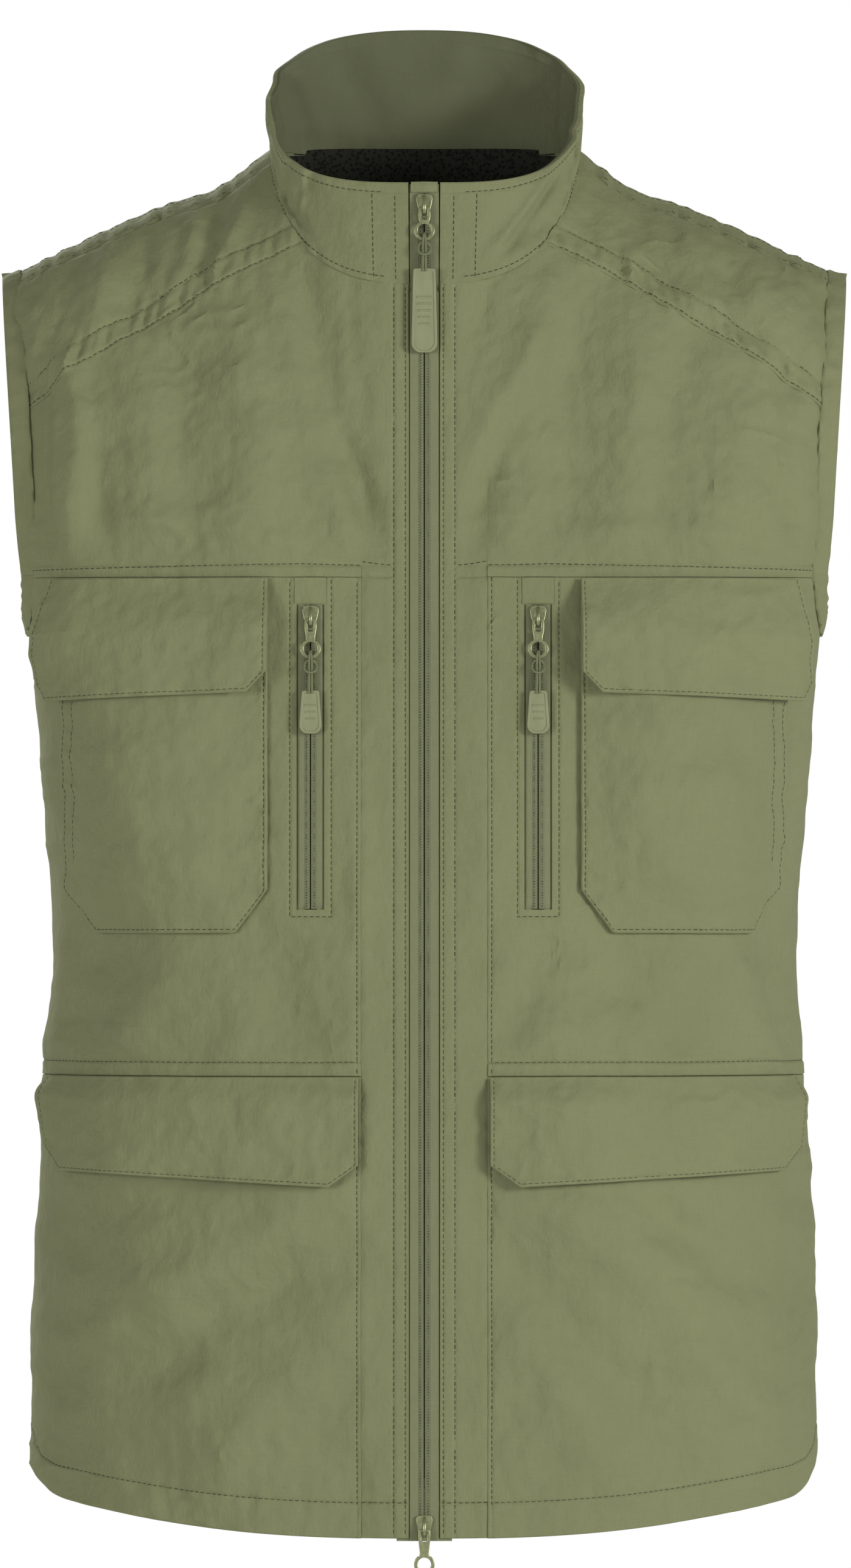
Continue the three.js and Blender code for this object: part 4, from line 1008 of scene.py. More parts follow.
# ---- back -------------------------------------------------------------------------------------
def yoke_point(u, v):
    """u is -1 to 1 across, v 0 at the rear shoulder seam, 1 on the crest, 2 at the yoke seam."""
    z_out = np.where(v < 1, TIP_Z, lerp(TIP_Z, YOKE_Z, np.maximum(v - 1, 0) ** 2))
    x = u * armhole_x(z_out)
    out = np.abs(x)
    top = np.where(out < NECK, neck_z(math.pi - neck_angle(out)), crest_z(out))
    front_z = top - REAR_DROP * (1 - v) ** 2
    rear_z = top - (top - YOKE_Z - 0.2) * (v - 1) ** 2
    z = np.where(v < 1, np.where(out < NECK, top, front_z), rear_z)
    near = np.where(out < NECK, back_y(x, top - 1) - 6 * (1 - v), front_y(x, front_z))
    return points(x, np.where(v < 1, near, back_y(x, np.minimum(rear_z, top))), z)


def yoke_detail(u, v, p):
    x, z = p[..., 0], p[..., 2]
    drop = crest_z(np.abs(x)) - z
    front = v < 1
    out = np.where(front, turned(v * 8, 0.6) + groove(REAR_DROP - drop - 1.8, 0.25), 0)
    out += pucker(v * 8, 1.3 * x, 1.0, 8, 60) * smooth(-v, -1.6, -0.9) * smooth(np.abs(x), NECK, NECK + 12)
    above = z - YOKE_Z
    rear = ~front
    out += rear * (turned(above, 0.5) + groove(above - YOKE_ROW) + pucker(above - 5, x, 0.3, 7, 61))
    return out + rear * 0.4 * smooth(-above, -7.6, -5.2) + turned((1 - np.abs(u)) * 200, 0.6)


yoke = Cloth(yoke_point, detail=yoke_detail, step=0.001)
neck_share = NECK / float(armhole_x(TIP_Z))
yoke_across = np.linspace(-1, 1, 201)
yoke_up = np.unique(np.round(np.concatenate([np.linspace(0, 1, 12), 1 + np.linspace(0, 1, 70) ** 0.8]), 4))
panel("back_yoke", yoke, yoke_across, yoke_up,
      keep=lambda u, v: ~((v < 1) & (np.abs(u) < neck_share - 0.006)))
for side, hand in SIDES:
    for row in (0.12, 0.62):
        stitch(yoke, [(side * u, row) for u in np.linspace(neck_share + 0.03, 1, 24)])
stitch(yoke, [(u, 1 + math.sqrt(1 - YOKE_ROW / 215)) for u in np.linspace(-1, 1, 40)])


def back_point(u, t):
    """u is -1 to 1 across, t 0 at the hem to YOKE_Z at the yoke seam."""
    low = hem_z(float(half_width(0)) * np.abs(np.sin(np.clip(u, -1, 1) * math.pi / 2)) ** 0.8)
    z = low + (YOKE_Z - 0.2 - low) * t / YOKE_Z
    side = side_angle(z, back_depth(z), ARMHOLE_REAR)
    p = ring(math.pi - np.abs(u) * side, z)
    p[..., 0] *= np.where(u < 0, -1, 1)
    return p


def back_detail(u, t, p):
    out = turned(t, 1.0) + turned(YOKE_Z - t, 0.5) + turned((1 - np.abs(u)) * 220, 0.6)
    out = out + groove(t - HEM_ROW) + pucker(t - HEM_ROW, p[..., 0], 0.35, 9, 66)
    return out + pucker(YOKE_Z - t, p[..., 0], 0.3, 7, 67)


back = Cloth(back_point, detail=back_detail, step=0.001)
back_up = np.unique(np.concatenate([
    grid(0, YOKE_Z + 1, 2.8, 1, HEM_ROW, YOKE_Z - 1), np.arange(UNDERARM_Z - 2, UNDERARM_Z + 12, 0.8)]))
near_side = 1 - np.array([0.0003, 0.0015, 0.004, 0.008])
back_across = np.unique(np.concatenate([np.linspace(-1, 1, 211), near_side, -near_side]))
panel("back_panel", back, back_across, back_up)
stitch(back, [(u, HEM_ROW) for u in np.linspace(-1, 1, 60)])


# ---- collar -----------------------------------------------------------------------------------
def collar_top(angle):
    front = COLLAR_Z + 45 * (1 - np.cos(np.minimum(angle, math.pi / 2))) ** 1.4
    rear = COLLAR_Z + 45 + (COLLAR_BACK + SIDE_NECK_Z - 2 - COLLAR_Z - 45) * np.maximum(-np.cos(angle), 0)
    return np.where(angle > math.pi / 2, rear, front)


REAR_Y = float(back_y(0.0, SIDE_NECK_Z - 2.0))
COLLAR_START = float(neck_angle(PLACKET_IN))


def collar_point(a, v):
    """a runs round the neck from the right front edge to the left, v from the seam to the edge."""
    angle = lerp(COLLAR_START, 2 * math.pi - COLLAR_START, a / COLLAR_RUN)
    angle = np.where(angle > math.pi, angle - 2 * math.pi, angle)
    turn = np.abs(angle)
    low = neck_x(turn)
    low_z = neck_z(turn)
    front = turn <= math.pi / 2
    ahead = np.maximum(np.cos(turn), 0) ** 0.8
    behind = np.maximum(-np.cos(turn), 0) ** 0.8
    low_y = np.where(front, front_y(low, low_z), lerp(CREST, REAR_Y, behind))
    high_y = np.where(front, lerp(CREST, -COLLAR_DEPTH, ahead), lerp(CREST, REAR_Y - 6, behind))
    share = v / COLLAR_TALL
    x = lerp(low, low * (1 + COLLAR_FLARE / NECK), share)
    return points(np.sign(angle) * x, lerp(low_y, high_y, share), lerp(low_z, collar_top(turn), share))


def collar_folds(a, v):
    """The collar's own folds: creases where it turns at the sides, and soft slanting ones."""
    tall = smooth(v, 0, 14)
    out = 1.2 * noise(a * 0.55, v * 0.8, SOFT) * tall + 0.6 * noise(a * 1.7, v, SOFT) * tall
    for crease in ((266, 52, 254, 0, 1.6, 2.2), (261, 52, 249, 0, 1.5, -2.0), (256, 50, 244, 4, 1.7, 1.9),
                   (270, 50, 258, 0, 2.0, -1.8), (240, 52, 236, 6, 4, -1.4), (36, 46, 8, 8, 3.5, 2.4),
                   (44, 40, 16, 4, 4, -2.2), (54, 52, 50, 0, 2.5, 2.0), (60, 52, 57, 0, 2.5, -2.2),
                   (118, 50, 138, 8, 7, 3.0), (142, 46, 150, 14, 6, -3.2), (178, 50, 158, 10, 7, 3.0),
                   (196, 48, 184, 6, 6, -2.6), (98, 50, 96, 4, 4, -2.0), (206, 50, 204, 4, 4, 1.8)):
        out += ridge(a, v, *crease)
    return out * smooth(a, 6, 24) * smooth(COLLAR_RUN - a, 6, 24) * smooth(v, -1, 12)


def collar_detail(a, v, p):
    edge = COLLAR_TALL - v
    out = turned(edge, 0.8) + groove(edge - 5, 0.2) + collar_folds(a, v)
    return out + pucker(v, a * 1.7, 0.4, 5, 70) + pucker(edge - 4, a * 1.7, 0.16, 4, 71)


collar = Cloth(collar_point, lift=0.3, detail=collar_detail, folded=0, thick=1.7)
facing = Cloth(collar_point, lift=-1.7, detail=collar_detail, folded=0, thick=1.4)
COLLAR_ROW = COLLAR_TALL - 5
panel("collar_outer", collar, np.linspace(0, COLLAR_RUN, 330),
      grid(-0.7, COLLAR_TALL, 1.2, COLLAR_ROW, COLLAR_TALL - 1))
# the facing wears the shell fabric painted darker, as painted shade inside the collar
panel("collar_facing", facing, np.linspace(0, COLLAR_RUN, 260),
      grid(-0.5, COLLAR_TALL, 1.6, COLLAR_ROW, COLLAR_TALL - 1), (shaded_shell, "shell_fabric"))
for row in (COLLAR_ROW, 2.4):
    stitch(collar, [(a, row) for a in range(6, COLLAR_RUN - 4, 4)])
for a in (3.2, 9.5, COLLAR_RUN - 9.5, COLLAR_RUN - 3.2):
    stitch(collar, [(a, 1), (a, COLLAR_ROW - 1)])


# ---- armhole bindings -------------------------------------------------------------------------
def armhole_point(turn):
    """The armhole's edge on the left, from the underarm up the front and down the back."""
    turn = np.mod(turn, 2 * math.pi)
    rear = turn > math.pi
    z = lerp(UNDERARM_Z, float(crest_z(armhole_x(TIP_Z))), (1 - np.cos(turn)) / 2)
    y = armhole_reach(z, np.where(rear, ARMHOLE_REAR, ARMHOLE_FRONT))
    fore = angle_of_y(y, front_depth(z), z)
    aft = math.pi - angle_of_y(y, back_depth(z), z)
    low = ring(np.where(rear, aft, fore), z)
    x = armhole_x(z)
    high = points(x, np.where(rear, back_y(x, z), front_y(x, z)), z)
    return np.where((z < UNDERARM_Z + ARMHOLE_RISE * 0.65)[..., None], low, high)


def binding(side, seed):
    """A turned band round the armhole: rounded in section, gathered along its seam."""
    steps, around = 340, 12
    turn = (np.arange(steps) + 0.5) / steps * 2 * math.pi
    here = armhole_point(turn)
    along = armhole_point(turn + 0.02) - armhole_point(turn - 0.02)
    along /= np.linalg.norm(along, axis=1, keepdims=True)
    middle = np.array([float(armhole_x(TIP_Z)), 0, lerp(UNDERARM_Z, TIP_Z, 0.5)])
    inward = (middle - here) * [0, 1, 1]
    inward /= np.linalg.norm(inward, axis=1, keepdims=True)
    low = np.clip((UNDERARM_Z + 60 - here[:, 2:]) / 60, 0, 1)
    wide = np.concatenate([lerp(0.95, 0.25, low), 0 * low, 0 * low], 1) + inward * lerp(0.35, 0.95, low)
    wide -= along * np.sum(wide * along, 1, keepdims=True)
    wide /= np.linalg.norm(wide, axis=1, keepdims=True)
    thick = np.cross(wide, along)
    travelled = np.cumsum(np.linalg.norm(here - np.roll(here, 1, 0), axis=1))
    band_width = BINDING_WIDTH + BAND_UNDER + SEAM + lerp(0.3, 1.2, low)
    verts = []
    for k in range(around):
        t = 2 * math.pi * k / around
        share = 0.5 + 0.5 * math.copysign(abs(math.cos(t)) ** 0.6, math.cos(t))
        w = share * band_width
        h = 0.5 * BINDING_THICK * math.copysign(abs(math.sin(t)) ** 0.7, math.sin(t))
        gather = 0.45 * ripples(travelled * 0.9, seed) * math.exp(-share)
        gather = gather + 0.3 * ripples(travelled + 30 * share, seed + 1)
        swell = (gather * np.sign(math.sin(t)) * (abs(math.sin(t)) > 0.2))[:, None]
        verts.append(here + wide * (w - BAND_UNDER) + thick * (h + swell))
    grid_points = np.stack(verts, 1)
    grid_points[..., 0] *= side
    index = np.arange(steps * around).reshape(steps, around)
    ahead = np.roll(index, -1, 0)
    faces = np.stack([index, np.roll(index, -1, 1), np.roll(ahead, -1, 1), ahead], -1).reshape(-1, 4)
    if side > 0:
        faces = faces[:, ::-1]
    return grid_points, faces, travelled[-1]


for side, hand in SIDES:
    band, faces, run = binding(side, 80 if side > 0 else 83)
    piece = new_object(f"armhole_binding_{hand}_cloth", band.reshape(-1, 3), faces, shell, 60)
    dress(piece, [f"armhole_binding_{hand}"], "vest")


# ---- linings and pocket bags ------------------------------------------------------------------
def lining_back_point(u, v):
    z = lerp(float(hem_z(150)) + 12, SIDE_NECK_Z + 1.2 - 3 * np.abs(u) ** 6, v)
    x = u * (NECK - 3 + (half_width(z) - NECK - 17) * np.clip((TIP_Z - 60 - z) / 60, 0, 1))
    return points(x, back_y(x, np.minimum(z, SIDE_NECK_Z - 8)), z)


def lining_depth(u, v):
    return -lerp(LINING_DEPTH, 6.2, smooth(v, 0.93, 1))


lining_back = Cloth(lining_back_point, lift=lining_depth, thick=0.8, step=0.001)
panel("mesh_lining_back", lining_back, np.linspace(-1, 1, 90), np.linspace(0, 1, 130), LINING)


def deep_point(low, high):
    """The front between two heights; v runs from 0 to 100."""
    return lambda s, v: front_point(s, lerp(low, high, v / 100))


def bag_out(s, v):
    beside = np.clip(np.minimum((s - PLACKET_OUT - 1) / 11, (FRONT_END - s) / 27), 0, 1)
    return -lerp(CLOTH + LAYER, 15, np.minimum(smooth(beside, 0, 1), smooth(v, 0, 10)))


def zip_bag_out(s, v):
    beside = np.clip((SLIT_HALF + 9 - np.abs(s - SLIT)) / 5, 0, 1)
    ends = np.clip(np.minimum(v, 100 - v) / 8, 0, 1)
    return -lerp(CLOTH + 3.1, 9, np.minimum(beside, ends))


for side, hand in SIDES:
    hung = Cloth(deep_point(float(hem_z(150)) + 22, YOKE_Z - 35), side, lift=-18.5, thick=0.8)
    panel(f"mesh_lining_{hand}", hung, grid(PLACKET_OUT + 6.4, FRONT_END + 18, 5), grid(0, 100, 1.4), LINING)
    bag = Cloth(deep_point(40, WAIST_Z - 3.4), side, lift=bag_out, thick=0.8)
    panel(f"lower_pocket_bag_{hand}", bag, grid(PLACKET_OUT + 1, FRONT_END, 3), grid(0, 100, 1.6), LINING)
    zip_bag = Cloth(deep_point(SLIT_FOOT - 12, YOKE_Z - 8), side, lift=zip_bag_out, thick=0.8, folded=0)
    panel(f"zip_pocket_bag_{hand}", zip_bag, grid(SLIT - 16, SLIT + 16, 2), grid(0, 100, 1.6), LINING)


# ---- zips -------------------------------------------------------------------------------------
def middle_point(x, z):
    return points(x, -front_depth(z), z)


def chain_detail(centre):
    """One half of a closed coil zip under its woven cover: a ridge, and a scalloped inner edge."""
    def detail(x, z, p):
        off = np.abs(x - centre)
        return 0.28 * np.exp(-((off - 1.7) / 0.9) ** 2) + 0.2 * np.cos(2 * math.pi * (z + 0.5 * off) / TEETH)
    return detail


def wide_tape(u, z):
    wide = lerp(TAPE_OUT, PLACKET_IN - SEAM, np.clip((z - NECK_Z + 4) / 2, 0, 1))
    return middle_point(lerp(CHAIN_HALF, wide, u), z)


def main_tape_lift(u, z):
    x = lerp(CHAIN_HALF, TAPE_OUT, u)
    return lerp(-0.3, -1.45, smooth(x, 7.2, 7.8) * smooth(-z, -NECK_Z, -NECK_Z + 4))


def strip_lift(x, z):
    end = smooth(z, SLIT_FOOT + 2, SLIT_FOOT)
    return lerp(-0.5, -1.45, np.maximum(smooth(np.abs(x - SLIT), 5.6, 6.9), end))


def cover_detail(x, z, p):
    edge = z - GARAGE_FOOT
    return turned(edge, 0.9) + 0.5 * np.exp(-((x - SLIT) / 4.5) ** 2) + 0.12 * noise(x, z, FINE)


ON_COIL = {"pitch": TEETH, "length": 1.15, "radius": 0.17, "sink": 0.02}
for side, hand in SIDES:
    chain = Cloth(middle_point, side, lift=-0.42, thick=1.5, detail=chain_detail(0), folded=0)
    chain_rows = np.arange(CHAIN_FOOT, CHAIN_TOP, TEETH / 4)
    panel(f"zip_teeth_{hand}", chain, np.linspace(0.3, CHAIN_HALF, 9), chain_rows, COIL, held="stretched")
    stitch(chain, [(2.0, CHAIN_FOOT), (2.0, CHAIN_TOP)], slant=0.5 * side, **ON_COIL)
    main_tape = Cloth(wide_tape, side, lift=main_tape_lift, thick=0.5, folded=0, step=0.002)
    panel(f"zip_tape_{hand}", main_tape, np.linspace(0, 1, 45), grid(CHAIN_FOOT, CHAIN_TOP, 2.5), TAPE,
          held="stretched")
    for half, place in ((-1, "inner"), (1, "outer")):
        name, nodes = f"pocket_zip_{hand}_{place}", [f"pocket_zip_{hand}"]
        edge, far, outside = (SLIT + half * out for out in (0.3, CHAIN_HALF, SLIT_HALF + 4))
        part = Cloth(on_front, side, lift=-0.6, thick=1.5, detail=chain_detail(SLIT), folded=0)
        sew(f"{name}_teeth", part, np.linspace(min(edge, far), max(edge, far), 8),
            np.arange(SLIT_FOOT + 0.4, YOKE_Z - 2, TEETH / 4), nodes, *COIL, held="stretched")
        row = SLIT + half * 2.0
        stitch(part, [(row, SLIT_FOOT + 1), (row, YOKE_Z - 3)], slant=0.5 * half, **ON_COIL)
        strip = Cloth(on_front, side, lift=strip_lift, thick=0.5, folded=0)
        sew(f"{name}_tape", strip, grid(min(far, outside), max(far, outside), 0.6),
            grid(SLIT_FOOT - 2, YOKE_Z - 2, 3), nodes, *TAPE, held="stretched")
    cover = Cloth(on_front, side, lift=0.4, thick=1.2, detail=cover_detail, folded=0)
    panel(f"pocket_zip_garage_{hand}", cover, grid(SLIT - SLIT_HALF - 1, SLIT + SLIT_HALF + 1, 0.9),
          grid(GARAGE_FOOT, YOKE_Z - 0.3, 0.8))


def garage_detail(x, z, p):
    lift = 0.9 * np.exp(-(x / 3.6) ** 2) + 0.5 * np.exp(-((z - CHAIN_TOP + 1) / 1.5) ** 2)
    return lift + turned(z - CHAIN_TOP + TOP_GARAGE, 0.7)


top_cover = Cloth(middle_point, lift=1.1, thick=1.2, detail=garage_detail, folded=0)
panel("top_zip_garage", top_cover, grid(-6.8, 6.8, 0.7), grid(CHAIN_TOP - TOP_GARAGE, CHAIN_TOP + 1, 0.5))


# ---- sliders, tabs, cords and pullers ---------------------------------------------------------
def flat_plate(outlines, low, high, bevel):
    """A plate with rounded edges, from closed outlines in x and z, between y low and high."""
    curve = bpy.data.curves.new("outline", "CURVE")
    curve.dimensions, curve.fill_mode = "2D", "BOTH"
    curve.extrude, curve.bevel_depth, curve.bevel_resolution = (high - low) / 2 - bevel, bevel, 2
    curve.offset = -bevel
    for outline in outlines:
        spline = curve.splines.new("POLY")
        spline.points.add(len(outline) - 1)
        for point, (x, z) in zip(spline.points, outline):
            point.co = (x, z, 0, 1)
        spline.use_cyclic_u = True
    holder = bpy.data.objects.new("outline", curve)
    bpy.context.scene.collection.objects.link(holder)
    mesh = bpy.data.meshes.new_from_object(holder.evaluated_get(bpy.context.evaluated_depsgraph_get()))
    verts = [(v.co.x, (low + high) / 2 - v.co.z, v.co.y) for v in mesh.vertices]
    faces = [tuple(f.vertices) for f in mesh.polygons]
    bpy.data.objects.remove(holder)
    bpy.data.curves.remove(curve)
    bpy.data.meshes.remove(mesh)
    return verts, faces


def tube(path, radius, sides=10, flat=1.0):
    """A round bar along a path, its ends closed; flat is its width across x over its depth."""
    path = np.array(path, float)
    ahead = np.gradient(path, axis=0)
    ahead /= np.linalg.norm(ahead, axis=1, keepdims=True)
    side = np.cross(ahead, [1, 0, 0]) if abs(ahead[:, 0]).max() < 0.9 else np.cross(ahead, [0, 1, 0])
    side /= np.linalg.norm(side, axis=1, keepdims=True)
    other = np.cross(ahead, side)
    t = np.arange(sides) * 2 * math.pi / sides
    spokes = side[:, None] * np.cos(t)[:, None] + flat * other[:, None] * np.sin(t)[:, None]
    rounds = path[:, None] + radius * spokes
    verts = [tuple(v) for v in rounds.reshape(-1, 3)]
    faces = []
    for k in range(len(path) - 1):
        for c in range(sides):
            d = (c + 1) % sides
            faces.append((k * sides + c, k * sides + d, (k + 1) * sides + d, (k + 1) * sides + c))
    faces.append(tuple(reversed(range(sides))))
    faces.append(tuple((len(path) - 1) * sides + c for c in range(sides)))
    return verts, faces


def arc(x, z, radius, start, end, steps):
    turns = np.radians(np.linspace(start, end, steps))
    return [(x + radius * math.cos(t), z + radius * math.sin(t)) for t in turns]


def joined(parts):
    verts, faces = [], []
    for more, shapes in parts:
        start = len(verts)
        verts += list(more)
        faces += [tuple(start + i for i in face) for face in shapes]
    return verts, faces


def curve_through(path, steps):
    """A path with points added on a smooth curve through it."""
    path = np.array(path, float)
    places = np.arange(len(path))
    fine = np.linspace(0, len(path) - 1, steps)
    return np.stack([through(*zip(places, path[:, i]))(fine) for i in range(3)], -1)


def slider_parts():
    """A slider: two crowned plates, the post between them and the arch over the front."""
    w, h = 4.25, SLIDER_HALF
    right = [(w * 0.55, -h), (w * 0.66, -h * 0.8), (w * 0.74, -h * 0.2), (w * 0.92, h * 0.3),
             (w, h * 0.62), (w * 0.9, h * 0.9), (w * 0.6, h)]
    crown = right + [(-x, z) for x, z in reversed(right)]
    front = flat_plate([crown], -2.5, -1.5, 0.3)
    back = flat_plate([crown], 1.5, 2.5, 0.3)
    post = tube([(0, -1.6, 4.2), (0, 1.6, 4.2)], 0.6)
    arch = curve_through([(0, -1.9, 5.3), (0, -3.6, 5.0), (0, -5.4, 2.6), (0, -6.0, -0.6), (0, -5.2, -3.0),
                          (0, -3.2, -4.1), (0, -1.9, -4.3)], 26)
    return joined([front, back, post, tube(arch, 0.62, 12, 1.5)])


def tab_parts(shank):
    """A pull tab: a bar that turns in the slider's arch, a waisted shank and a ring."""
    open_top = [(-1.45, -0.75), (1.45, -0.75), (1.45, -4.9), (0.9, -5.6), (-0.9, -5.6), (-1.45, -4.9)]
    neck = -shank + RING_OUTER
    side = [(2.5, 0.75), (3.0, 0.3), (3.1, -3.5), (2.9, -5.8), (2.3, min(-7.2, neck + 0.6)),
            (2.6, neck - 1.2)]
    around = arc(0, -shank, RING_OUTER, 50, -230, 44)
    outline = side + around + [(-x, z) for x, z in reversed(side)]
    hole = arc(0, -shank, RING_HOLE, 0, 350, 36)
    return flat_plate([outline, open_top, hole], -0.65, 0.65, 0.3)


def puller_parts(drop, length, top, low, thick):
    """A moulded puller: a rounded blade with a raised rim and plain grip ribs."""
    t, w = top / 2, low / 2
    r = w * 0.78
    right = [(t - 1.2, 0), (t - 0.3, -0.3), (t, -1.4), (w, -length + r)] + \
        [(w - r + r * math.cos(a), -length + r - r * math.sin(a)) for a in np.radians(np.arange(15, 90, 15))]
    outline = [(x, z - drop) for x, z in right] + [(-x, z - drop) for x, z in reversed(right)]
    blade = flat_plate([outline], -thick / 2 + 0.35, thick / 2, 0.5)
    middle = drop + length / 2
    inner = [(x * (1 - 1.5 / w), (z + middle) * (1 - 2.6 / length) - middle) for x, z in outline]
    rim = flat_plate([outline, inner], -thick / 2, 0, 0.3)
    parts = [blade, rim]
    for k in range(5 if length > 30 else 3):
        z = -drop - length * 0.34 - k * 3.4
        half = (w - 2.9) * (1 - 0.08 * k)
        parts.append(tube([(-half, -thick / 2 + 0.35, z), (half, -thick / 2 + 0.35, z)], 0.5, 8))
    return joined(parts)


def cord_parts(drop):
    """A cord loop with its hitch: over the ring's bar, down both sides, and held in the puller."""
    front, back = -1.75, 1.75
    low, half_way = -drop - 1.5, -drop * 0.6
    loop = [(-0.75, front, low), (-0.7, front, half_way), (-0.7, front - 0.1, -2.0), (-0.4, front, 1.3),
            (0, 0, 2.95), (0.4, back, 1.3), (0.8, back, -3.0), (0.7, back * 0.5, half_way),
            (0.65, -0.3, low)]
    second = [(0.75, front + 0.2, low), (0.7, front + 0.1, half_way), (0.7, front, -2.0),
              (0.4, front, 1.3), (0, 0, 3.05), (-0.4, back, 1.2), (-0.7, back, -3.0),
              (-0.5, back * 0.5, half_way), (-0.4, -0.2, low)]
    hitch = [(-3.3, front - 0.2, -5.6), (-2.2, front - 1.0, -7.4), (0, front - 1.3, -8.1),
             (2.2, front - 1.0, -7.4), (3.3, front - 0.2, -5.6), (2.7, front + 0.8, -3.2),
             (1.2, front - 0.2, -1.6)]
    back_hitch = [(-3.3, front - 0.2, -5.6), (-2.7, front + 0.8, -3.2), (-1.2, front - 0.2, -1.6)]
    parts = [tube(curve_through(p, n), 0.62, 8) for p, n in
             ((loop, 40), (second, 40), (hitch, 30), (back_hitch, 14))]
    return joined(parts)


def zip_place(x, z, run, depth):
    """The zip's own axes at a place on its line: x across, -y out of the cloth, z up the zip."""
    here = Vector((x, float(depth(x, z)), z))
    up = (Vector((x, float(depth(x, z + run)), z + run)) - here).normalized() * math.copysign(1, run)
    out = Vector((0, -up.z, up.y))
    place = Matrix.Translation(here - out * CHAIN_SUNK)
    turn = Matrix((Vector((1, 0, 0)), -out, up)).transposed().to_4x4()
    return place @ turn


def hang(name, parts, place, shift, material, nodes, body, sharp=35):
    verts, faces = parts
    verts = [place @ (Vector(v) + shift) for v in verts]
    piece = new_object(name, [tuple(v) for v in verts], list(faces), material, sharp)
    dress(piece, nodes, body)
    return piece


def middle_y(x, z):
    return -front_depth(z)


top_slider_z = COLLAR_Z - 12.5
pocket_slider_z = GARAGE_FOOT - 0.5 - SLIDER_HALF
# name, x and z of the slider, its run, the line's depth, the tab's length, and the puller's drop,
# length, top width, low width and thickness
zips = (
    ("top", 0, top_slider_z, -200, middle_y, 11.5, (15, 43, 11.4, 13.1, 3.4)),
    ("bottom", 0, CHAIN_FOOT + SLIDER_HALF, 100, middle_y, 17, None),
    ("left_pocket", SLIT, pocket_slider_z, -125, front_y, 14.5, (17, 22, 9, 11.3, 3)),
    ("right_pocket", -SLIT, pocket_slider_z, -125, front_y, 14.5, (17, 22, 9, 11.3, 3)),
)
for prefix, x, z, run, depth, shank, pull in zips:
    place = zip_place(x, z, run, depth)
    pivot = Vector((0, -PIVOT_OUT, PIVOT_UP))
    eye = pivot - Vector((0, 0, shank + (RING_OUTER + RING_HOLE) / 2))
    for name, parts, shift in (("slider", slider_parts(), Vector()), ("tab", tab_parts(shank), pivot)):
        hang(f"{prefix}_{name}_metal", parts, place, shift, metal, [f"{prefix}_{name}"],
             f"{prefix}_{name}")
    if pull:
        hang(f"{prefix}_cord_loop", cord_parts(pull[0]), place, eye, cord_cloth, [f"{prefix}_cord"],
             f"{prefix}_puller", 60)
        hang(f"{prefix}_puller_rubber", puller_parts(*pull), place, eye, rubber, [f"{prefix}_puller"],
             f"{prefix}_puller")

for body, (verts, faces, count) in thread.items():
    sewn = new_object(f"{body}_stitches", np.concatenate(verts), faces, thread_cloth, 80)
    dress(sewn, [], body)


# ---- stage ------------------------------------------------------------------------------------
# sizes and places are in metres here; the vest hangs well clear of the floor
FLOOR_HALF, FLOOR_GAP = 6, 0.8
floor_mesh = bpy.data.meshes.new("floor")
floor_z = cad_box[0][2] - FLOOR_GAP
corners = [(x * FLOOR_HALF, y * FLOOR_HALF, floor_z) for x, y in ((-1, -1), (1, -1), (1, 1), (-1, 1))]
floor_mesh.from_pydata(corners, [], [(0, 1, 2, 3)])
floor = bpy.data.objects.new("floor", floor_mesh)
bpy.context.scene.collection.objects.link(floor)
pale = Nodes("pale_floor")
pale.set(Base_Color=(0.86, 0.86, 0.85, 1), Roughness=0.9)
floor_mesh.materials.append(pale.material)

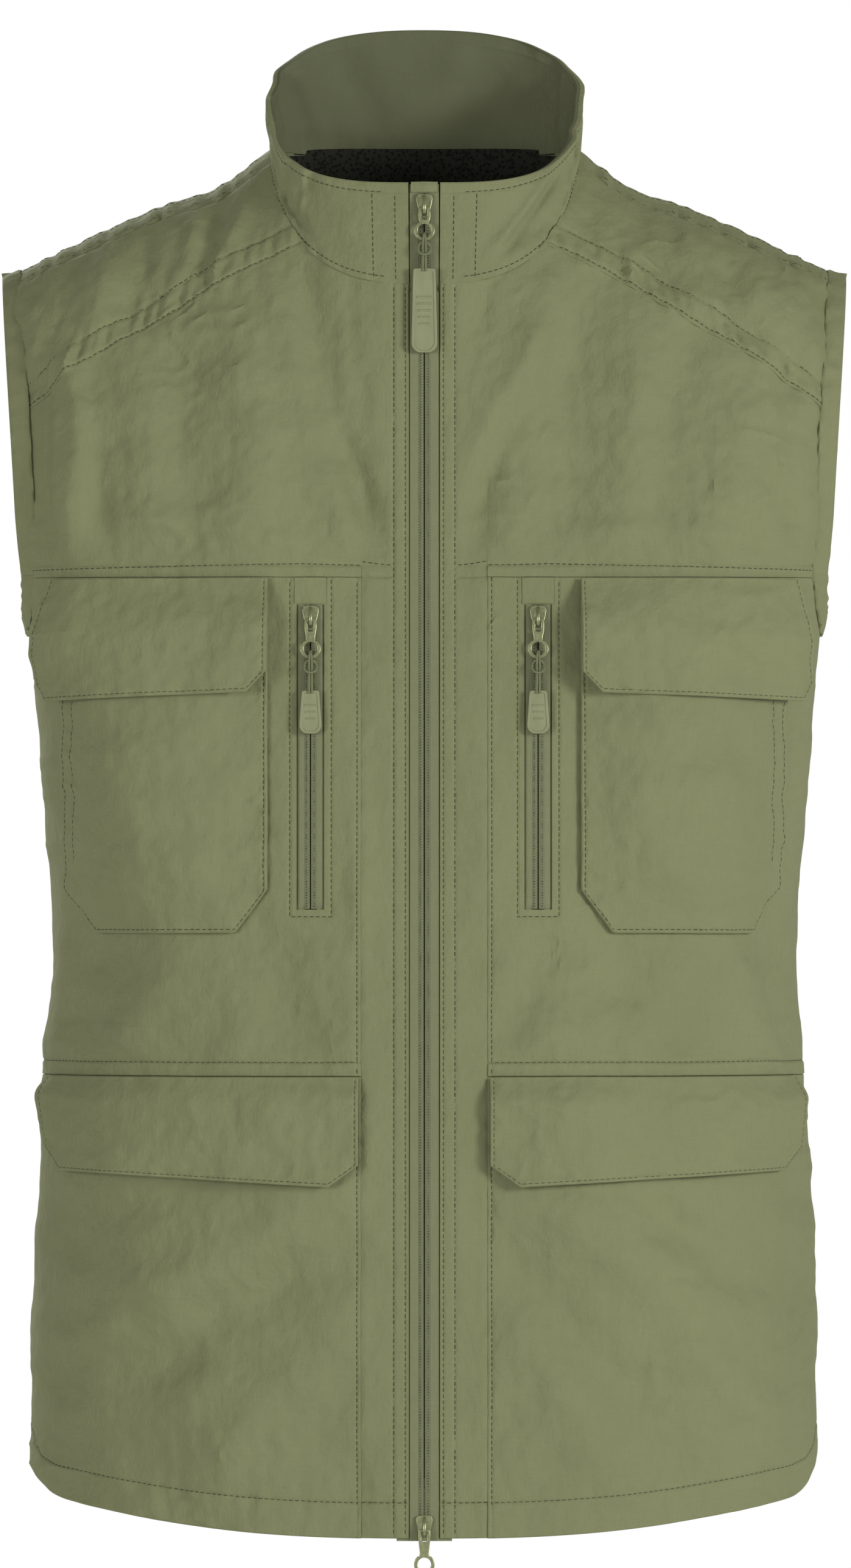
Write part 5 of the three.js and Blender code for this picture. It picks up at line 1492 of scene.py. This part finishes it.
# the studio is bright in a band round eye level and dim above and below, which models the folds
world = bpy.data.worlds.new("studio")
world.use_nodes = True
bpy.context.scene.world = world
bpy.context.scene.view_settings.view_transform = "Standard"
sky = world.node_tree
background = sky.nodes["Background"]
where = sky.nodes.new("ShaderNodeTexCoord")
split = sky.nodes.new("ShaderNodeSeparateXYZ")
ramp = sky.nodes.new("ShaderNodeValToRGB")
height = sky.nodes.new("ShaderNodeMapRange")
height.inputs["From Min"].default_value = -1
sky.links.new(where.outputs["Generated"], split.inputs["Vector"])
sky.links.new(split.outputs["Z"], height.inputs["Value"])
sky.links.new(height.outputs["Result"], ramp.inputs["Fac"])
sky.links.new(ramp.outputs["Color"], background.inputs["Color"])
stops = ramp.color_ramp.elements
for stop, place, level in ((stops[0], 0.0, 0.1), (stops[1], 1.0, 0.2)):
    stop.position, stop.color = place, (level, level, level, 1)
for place, level in ((0.38, 0.12), (0.45, 1.0), (0.55, 1.0), (0.62, 0.16)):
    stops.new(place).color = (level, level, level, 1)
background.inputs["Strength"].default_value = 1.0


def softbox(name, place, size, power, aim=(0, 0, -0.33)):
    """A square light of a size in metres and a power in watts, turned to the middle of the vest."""
    light = bpy.data.lights.new(name, "AREA")
    light.shape, light.size, light.energy = "SQUARE", size, power
    lamp = bpy.data.objects.new(name, light)
    lamp.location = place
    lamp.rotation_euler = (Vector(aim) - Vector(place)).to_track_quat("-Z", "Y").to_euler()
    bpy.context.scene.collection.objects.link(lamp)


softbox("key", (2.25, -1.95, 0.1), 0.7, 51)
softbox("fill", (-1.7, -2.3, -0.1), 0.9, 23)
softbox("rim", (-0.7, 2.4, 0.9), 1.2, 36)

# a long lens from straight ahead; VIEW_TALL is the height that the picture takes in at the vest
LENS, SENSOR, VIEW_TALL = 540, 36, 0.7986
camera_data = bpy.data.cameras.new("camera")
camera = bpy.data.objects.new("camera", camera_data)
camera_data.lens, camera_data.sensor_width, camera_data.sensor_fit = LENS, SENSOR, "AUTO"
camera.location = (0.0006, -VIEW_TALL * LENS / SENSOR, -0.3236)
camera.rotation_euler = (math.pi / 2, 0, 0)
bpy.context.scene.collection.objects.link(camera)
bpy.context.scene.camera = camera
